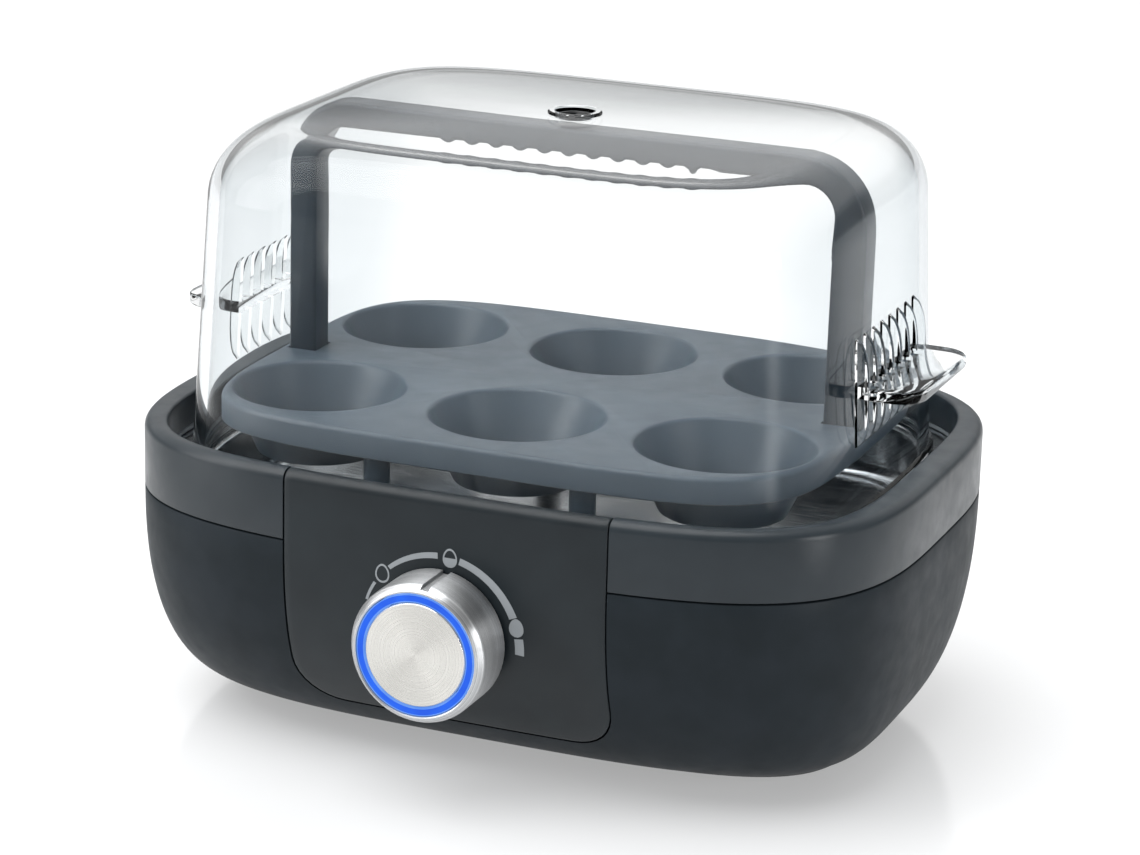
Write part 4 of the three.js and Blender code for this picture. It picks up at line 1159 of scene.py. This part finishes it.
def egg_tray():
    """The tray with six open wells, a skirt and four legs."""
    levels = [
        axis_point(TRAY_TOP - TRAY_PLATE),
        tray_ring(-TRAY_PLATE, TRAY_WALL),
        tray_ring(-TRAY_SKIRT, TRAY_WALL),
        tray_ring(-TRAY_SKIRT, 0.3),
        tray_ring(-TRAY_SKIRT + 0.3),
        *[tray_ring(-drop, inset) for drop, inset in rounding(TRAY_FILLET, 5)],
        axis_point(TRAY_TOP),
    ]
    tray = lathe("tray", levels, LID_TURNS)
    middle = WELL_MOUTH + WELL_BULGE
    cups, hollows = [], []
    for x in (-WELL_REACH[0], 0, WELL_REACH[0]):
        for y in (-WELL_REACH[1], WELL_REACH[1]):
            place = (x, y, TRAY_TOP)
            cups.append(round_lathe(
                "cup",
                [(0, -WELL_DEPTH), (WELL_MOUTH + WELL_WALL, -WELL_DEPTH),
                 (middle + WELL_WALL, -WELL_DEPTH / 2), (WELL_RADIUS + WELL_WALL, -1), (0, -1)],
                place=place,
            ))
            hollows.append(round_lathe(
                "hollow",
                [(0, -WELL_DEPTH - 1), (WELL_MOUTH, -WELL_DEPTH - 1), (WELL_MOUTH, -WELL_DEPTH),
                 (middle, -WELL_DEPTH / 2), (WELL_RADIUS, -1.0), (WELL_RADIUS + 0.2, -0.5),
                 (WELL_RADIUS + 0.6, -0.12), (WELL_RADIUS + 1.1, 0), (WELL_RADIUS + 1.1, 2), (0, 2)],
                place=place,
            ))
    legs = []
    end = BOWL_FLOOR + BOWL_SHEET + CLEARANCE - TRAY_TOP
    profile = [(0, end), (LEG_RADIUS - 0.4, end), (LEG_RADIUS, end + 0.4), (LEG_RADIUS, -1), (0, -1)]
    for x in (-WELL_REACH[0] / 2, WELL_REACH[0] / 2):
        for y in (-TRAY_HALF[1] + LEG_INSET, TRAY_HALF[1] - LEG_INSET):
            legs.append(round_lathe("leg", profile, place=(x, y, TRAY_TOP)))
    slots = []
    for side in (-1, 1):
        xs = sorted([side * (POST_OUTER + CLEARANCE), side * (POST_OUTER - POST_WIDTH - CLEARANCE)])
        half = HANDLE_DEPTH / 2 + CLEARANCE
        slots.append(block("slot", (xs[0], -half, TRAY_TOP - CUTTER_MARGIN), (xs[1], half, TRAY_TOP + 1)))
    join(tray, *cups, *legs)
    return cut(tray, *hollows, *slots)


def carry_handle():
    """The arch that carries the tray, with grip bumps under its beam."""
    inner = POST_OUTER - POST_WIDTH
    inner_corner = HANDLE_CORNER - POST_WIDTH
    beam_bottom = HANDLE_TOP - BEAM
    centre = POST_OUTER - HANDLE_CORNER
    top_centre = HANDLE_TOP - HANDLE_CORNER
    inner_centre = (inner - inner_corner, beam_bottom - inner_corner)
    outline = [(POST_OUTER, -HANDLE_FOOT), *arc((centre, top_centre), HANDLE_CORNER, 0, 90, 12)]
    outline += [*arc((-centre, top_centre), HANDLE_CORNER, 90, 180, 12), (-POST_OUTER, -HANDLE_FOOT)]
    outline += [(-inner, -HANDLE_FOOT), *arc((-inner_centre[0], inner_centre[1]), inner_corner, 180, 90, 10)]
    for i in range(GRIP_COUNT):
        x = (i - (GRIP_COUNT - 1) / 2) * GRIP_PITCH
        for j in range(9):
            share = j / 4 - 1
            outline.append((x + share * GRIP_HALF, beam_bottom - GRIP_HEIGHT * math.cos(share * math.pi / 2)))
    outline += [*arc(inner_centre, inner_corner, 90, 0, 10), (inner, -HANDLE_FOOT)]
    half = HANDLE_DEPTH / 2
    handle = prism("handle", outline, -half, half, lambda x, z, y: (x, y, z + TRAY_TOP))
    return round_edges(handle, 0.9, 3, 50)


# ---------------------------------------------------------------- lid


def lid_ring(z, inset=0.0):
    """The lid's outline below its shoulder."""
    lean = LID_DRAFT * min(z, LID_HEIGHT - LID_SHOULDER) + inset
    return grown(LID_HALF, -lean, LID_POWER, LID_FOOT + z)


def lid_rings(inset):
    """The lid's surface from near its edge to its crown, moved inwards by an inset."""
    shoulder = LID_SHOULDER - inset
    top = LID_HEIGHT - inset - LID_CROWN
    rings = [lid_ring(z, inset) for z in (12, 30, 48, top - shoulder)]
    steps = 14
    for i in range(1, steps + 1):
        turn = i / steps * math.radians(87)
        lean = LID_DRAFT * (top - shoulder) + inset + shoulder * (1 - math.cos(turn))
        rings.append(grown(LID_HALF, -lean, LID_POWER, LID_FOOT + top - shoulder * (1 - math.sin(turn))))
    half_length, half_depth, squareness, height = rings[-1]
    rise = LID_FOOT + top + LID_CROWN - height
    for i in range(1, 10):
        share = 1 - i / 10
        power = 2.4 + (squareness - 2.4) * share**2
        rings.append((half_length * share, half_depth * share, power, height + rise * (1 - share**2)))
    return [*rings, axis_point(height + rise)]


def lid_shell():
    """The clear hood before its wings and fins are joined on."""
    foot = [lid_ring(0, LID_WALL), lid_ring(0, 0.2), lid_ring(0.2)]
    inside = [lid_ring(12, LID_WALL), *lid_rings(LID_WALL)[1:]]
    return lathe("hood", [*foot, *lid_rings(0), *reversed(inside)], LID_TURNS, closed=True)


def wing(side):
    """The clear grip at one end of the lid, a plate with rounded edges."""
    start = LID_HALF[0] - LID_DRAFT * WING_TOP - LID_WALL / 2
    corner = WING_REACH - WING_CORNER
    outline = [(start, -WING_HALF), *arc((corner, -WING_HALF + WING_CORNER), WING_CORNER, -90, 0, 10)]
    outline += [*arc((corner, WING_HALF - WING_CORNER), WING_CORNER, 0, 90, 10), (start, WING_HALF)]
    top = LID_FOOT + WING_TOP
    plate = prism("wing", outline, top - WING_THICKNESS, top, lambda x, y, z: (side * x, side * y, z))
    return round_edges(plate, 0.7, 3, 50)


def fin(side, y):
    """A tongue-shaped fin that stiffens the wing, seen from the side as a tall rounded blade."""
    middle = WING_TOP - WING_THICKNESS / 2
    half = FIN_RISE + WING_THICKNESS / 2
    start = LID_HALF[0] - LID_DRAFT * middle - LID_WALL / 2
    outline = [(start, middle - half)]
    for i in range(21):
        share = i / 10 - 1
        reach = (LID_WALL / 2 - LID_DRAFT * share * half) + FIN_REACH * (1 - abs(share) ** 3.2) ** 0.6
        outline.append((start + reach, middle + share * half))
    outline.append((start, middle + half))
    half_thick = FIN_THICKNESS / 2
    blade = prism(
        "fin", outline, -half_thick, half_thick, lambda x, z, out: (side * x, y + out, LID_FOOT + z)
    )
    return round_edges(blade, 0.45, 2, 50)


def lid():
    """The clear lid."""
    hood = lid_shell()
    bead = lathe(
        "bead",
        [lid_ring(0, 0.6), lid_ring(0, 0.2 - LID_BEAD), lid_ring(0.25, -LID_BEAD), lid_ring(1.5, -LID_BEAD),
         lid_ring(LID_BEAD_HEIGHT, -0.6), lid_ring(2.4, 0.6)],
        LID_TURNS,
        closed=True,
    )
    wings = [wing(-1), wing(1)]
    places = [(i - (FIN_COUNT - 1) / 2) * FIN_PITCH for i in range(FIN_COUNT)]
    fins = [fin(side, y) for side in (-1, 1) for y in places]
    top = LID_FOOT + LID_HEIGHT
    collar = round_lathe(
        "collar",
        [(0, top - LID_WALL / 2), (VENT_COLLAR_RADIUS, top - LID_WALL / 2),
         (VENT_COLLAR_RADIUS, top + VENT_COLLAR_HEIGHT - 0.4),
         (VENT_COLLAR_RADIUS - 0.4, top + VENT_COLLAR_HEIGHT), (0, top + VENT_COLLAR_HEIGHT)],
    )
    join(hood, bead, *wings, *fins, collar)
    hole = round_lathe("hole", rod(VENT_RADIUS, top - 10, top + 5))
    return cut(hood, hole)


def vent_insert():
    """The dark vent in the crown, with two openings either side of a bar."""
    radius = VENT_RADIUS - CLEARANCE
    low, high = LID_FOOT + LID_HEIGHT - LID_WALL, LID_FOOT + LID_HEIGHT - 0.4
    disc = round_lathe(
        "vent",
        [(0, low), (radius, low), (radius, high - 0.3), (radius - 0.3, high), (radius - 0.9, high),
         (radius - 1.1, high - 0.3), (0, high - 0.3)],
    )
    mouths = []
    for side in (-1, 1):
        mouth = round_lathe("mouth", rod(radius - 1.3, low - 5, high + 5))
        xs = sorted([side * 0.6, side * radius])
        mouths.append(keep(mouth, block("half", (xs[0], -radius, low - 6), (xs[1], radius, high + 6))))
    return cut(disc, *mouths)


# ---------------------------------------------------------------- the object

finish(housing_shell(), ANTHRACITE, "base", "housing", "housing_shell")
finish(rim_band(), ANTHRACITE_BAND, "base", "rim", "rim_band")
finish(front_panel(), ANTHRACITE_PANEL, "base", "panel", "front_panel")
finish(heating_bowl(), STEEL, "base", "bowl_steel", "heating_bowl")
finish(bowl_gasket(), SILICONE, "base", "gasket", "bowl_gasket")
finish(base_plate(), UNDERSIDE, "base", "underside", "base_plate")
finish(cord_gland(), RUBBER, "base", "gland_rubber", "cord_gland")
for index, (x, y) in enumerate(SCREW_PLACES, 1):
    finish(base_screw(index, x, y), ZINC, "base", "screw_steel", f"base_screw_{index}")
for index, tool in enumerate(corner_blocks(PAD_MARGIN, -1, PAD_THICKNESS + 1), 1):
    finish(foot_pad(index, tool), RUBBER, "base", "foot_rubber", f"foot_pad_{index}")
finish(dial_marks(), PRINT, "base")

finish(dial_sleeve(), BRUSHED, "dial", "dial_metal", "dial_sleeve")
finish(light_ring(), BLUE_LIGHT, "dial", "dial_light", "light_ring")
# painted glow: pale bands at the ring's edges stand in for its halo
finish(painted_halo_band("painted_halo_inner", LIGHT_INNER, LIGHT_INNER + HALO_WIDTH), PAINTED_HALO_LIGHT, "dial", "dial_light")
finish(painted_halo_band("painted_halo_outer", LIGHT_OUTER - HALO_WIDTH, LIGHT_OUTER), PAINTED_HALO_LIGHT, "dial", "dial_light")
finish(start_button(), SPUN, "button", "button_metal", "start_button")

finish(egg_tray(), SLATE, "tray", "tray", "egg_tray")
finish(carry_handle(), SLATE_HANDLE, "tray", "handle", "carry_handle")
finish(lid(), CLEAR, "lid", "clear_lid", "lid")
finish(vent_insert(), VENT_PLASTIC, "lid", "vent", "vent_insert")

INNER_FINISHES = {
    "heat_spreader": ALUMINIUM,
    "heating_element": ELEMENT,
    "thermostat": CASING,
    "thermal_fuse": BRASS,
    "control_board": BOARD,
    "relay": CASING,
    "supply_capacitor": CASING,
    "buzzer": CASING,
    "terminal_block": BOARD,
    "dial_bush": BRASS,
    "encoder_body": CASING,
    "start_switch": CASING,
    "dial_board": BOARD,
    "dial_core": DARK_PLASTIC,
    "dial_shaft": ELEMENT,
    "button_spring": ELEMENT,
    "button_stem": DARK_PLASTIC,
    **{f"board_screw_{number}": ZINC for number in range(1, 5)},
}
for node, material in INNER_FINISHES.items():
    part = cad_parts[node]
    part.data.materials.clear()
    part.data.materials.append(material)


# ---------------------------------------------------------------- stage, lights and camera


FLOOR_REACH = 6.0
FLOOR_GLOW = 0.36
SKY_LOW = 0.3
SKY_HIGH = 1.05
SKY_FRONT = 0.42
SKY_RIGHT = 0.45
SKY_EDGE = (0.14, 0.28)
SUN_FROM = (-0.3, -0.25, 1.0)
SUN_POWER = 2.7
SUN_WIDTH = 60
LAMP_TARGET = (0, 0, 0.07)
CAMERA_PLACE = (0.30357, -0.73928, 0.31521)
CAMERA_BACK = (0.36433, -0.88309, 0.29566)
CAMERA_RIGHT = (0.92443, 0.38136, 0)
CAMERA_ROLL = 1.464
CAMERA_LENS = 113.16
CAMERA_SHIFT = (0.016, 0.0011)


def floor_finish():
    """A pale, softly mirroring tabletop, lit from below as a light table is."""
    made = Finish("floor", 0.16, specular=0.5)
    made.feed("Base Color", made.blend(made.noise(90.0), "#b7b8b9", "#bbbcbd"))
    made.feed("Roughness", made.spread(made.noise(40.0), 0.14, 0.18))
    made.shader.inputs["Emission Color"].default_value = (1, 1, 1, 1)
    made.shader.inputs["Emission Strength"].default_value = FLOOR_GLOW
    return made.material


def stage():
    """The floor."""
    mesh = bpy.data.meshes.new("floor")
    corners = [(x * FLOOR_REACH, y * FLOOR_REACH, 0) for x, y in CORNER_SIGNS]
    mesh.from_pydata(corners, [], [[0, 1, 2, 3]])
    mesh.materials.append(floor_finish())
    add_object("floor", mesh)


def lamp(name, place, size, power):
    """A rectangular soft light that faces the object."""
    data = bpy.data.lights.new(name, "AREA")
    data.shape = "RECTANGLE"
    data.size, data.size_y = size
    data.energy = power
    obj = add_object(name, data)
    obj.location = place
    obj.rotation_mode = "QUATERNION"
    obj.rotation_quaternion = (Vector(LAMP_TARGET) - Vector(place)).to_track_quat("-Z", "Y")


def fade(tree, source, start, end, low, high):
    """A number that runs smoothly from low to high as source goes from start to end."""
    span = add_node(tree, "MapRange", source, start, end, low, high, interpolation_type="SMOOTHSTEP")
    return span.outputs["Result"]


def surround():
    """A pale studio: dim near the horizon, bright above it, and dimmer towards the front and the right."""
    world = bpy.data.worlds.new("surround")
    world.use_nodes = True
    tree = world.node_tree
    background = tree.nodes["Background"]
    background.inputs["Color"].default_value = (1, 1, 1, 1)
    apart = add_node(tree, "SeparateXYZ", add_node(tree, "TexCoord").outputs["Generated"])
    strength = fade(tree, apart.outputs["Z"], *SKY_EDGE, SKY_LOW, SKY_HIGH)
    depth = fade(tree, apart.outputs["Y"], -0.7, 0.3, SKY_FRONT, 1.0)
    side = fade(tree, apart.outputs["X"], 0.3, 0.8, 1.0, SKY_RIGHT)
    for share in (depth, side):
        strength = add_node(tree, "Math", strength, share, operation="MULTIPLY").outputs["Value"]
    tree.links.new(strength, background.inputs["Strength"])
    bpy.context.scene.world = world


def sun():
    """An even light from far away, as wide as a large soft box."""
    data = bpy.data.lights.new("sun", "SUN")
    data.energy = SUN_POWER
    data.angle = math.radians(SUN_WIDTH)
    obj = add_object("sun", data)
    obj.rotation_mode = "QUATERNION"
    obj.rotation_quaternion = Vector(SUN_FROM).to_track_quat("Z", "Y")


def lights():
    """A wide soft light from above, a little to the front left, and soft boxes to the left and the right."""
    surround()
    sun()
    lamp("left", (-0.95, -0.6, 0.5), (0.5, 0.9), 6)
    lamp("right", (1.2, -0.35, 0.3), (0.25, 0.5), 5)


def camera():
    """The camera, a little off the object's axis and slightly rolled."""
    back = Vector(CAMERA_BACK).normalized()
    right = Vector(CAMERA_RIGHT).normalized()
    up = back.cross(right).normalized()
    roll = math.radians(CAMERA_ROLL)
    rolled_right = right * math.cos(roll) + up * math.sin(roll)
    rolled_up = up * math.cos(roll) - right * math.sin(roll)
    data = bpy.data.cameras.new("camera")
    data.lens = CAMERA_LENS
    data.sensor_width = 36
    data.shift_x, data.shift_y = CAMERA_SHIFT
    data.clip_start = 0.01
    obj = add_object("camera", data)
    obj.location = CAMERA_PLACE
    basis = [rolled_right, rolled_up, back]
    obj.rotation_mode = "QUATERNION"
    obj.rotation_quaternion = Matrix(basis).transposed().to_quaternion()
    bpy.context.scene.camera = obj


stage()
lights()
camera()
bpy.context.scene.view_settings.view_transform = "Standard"
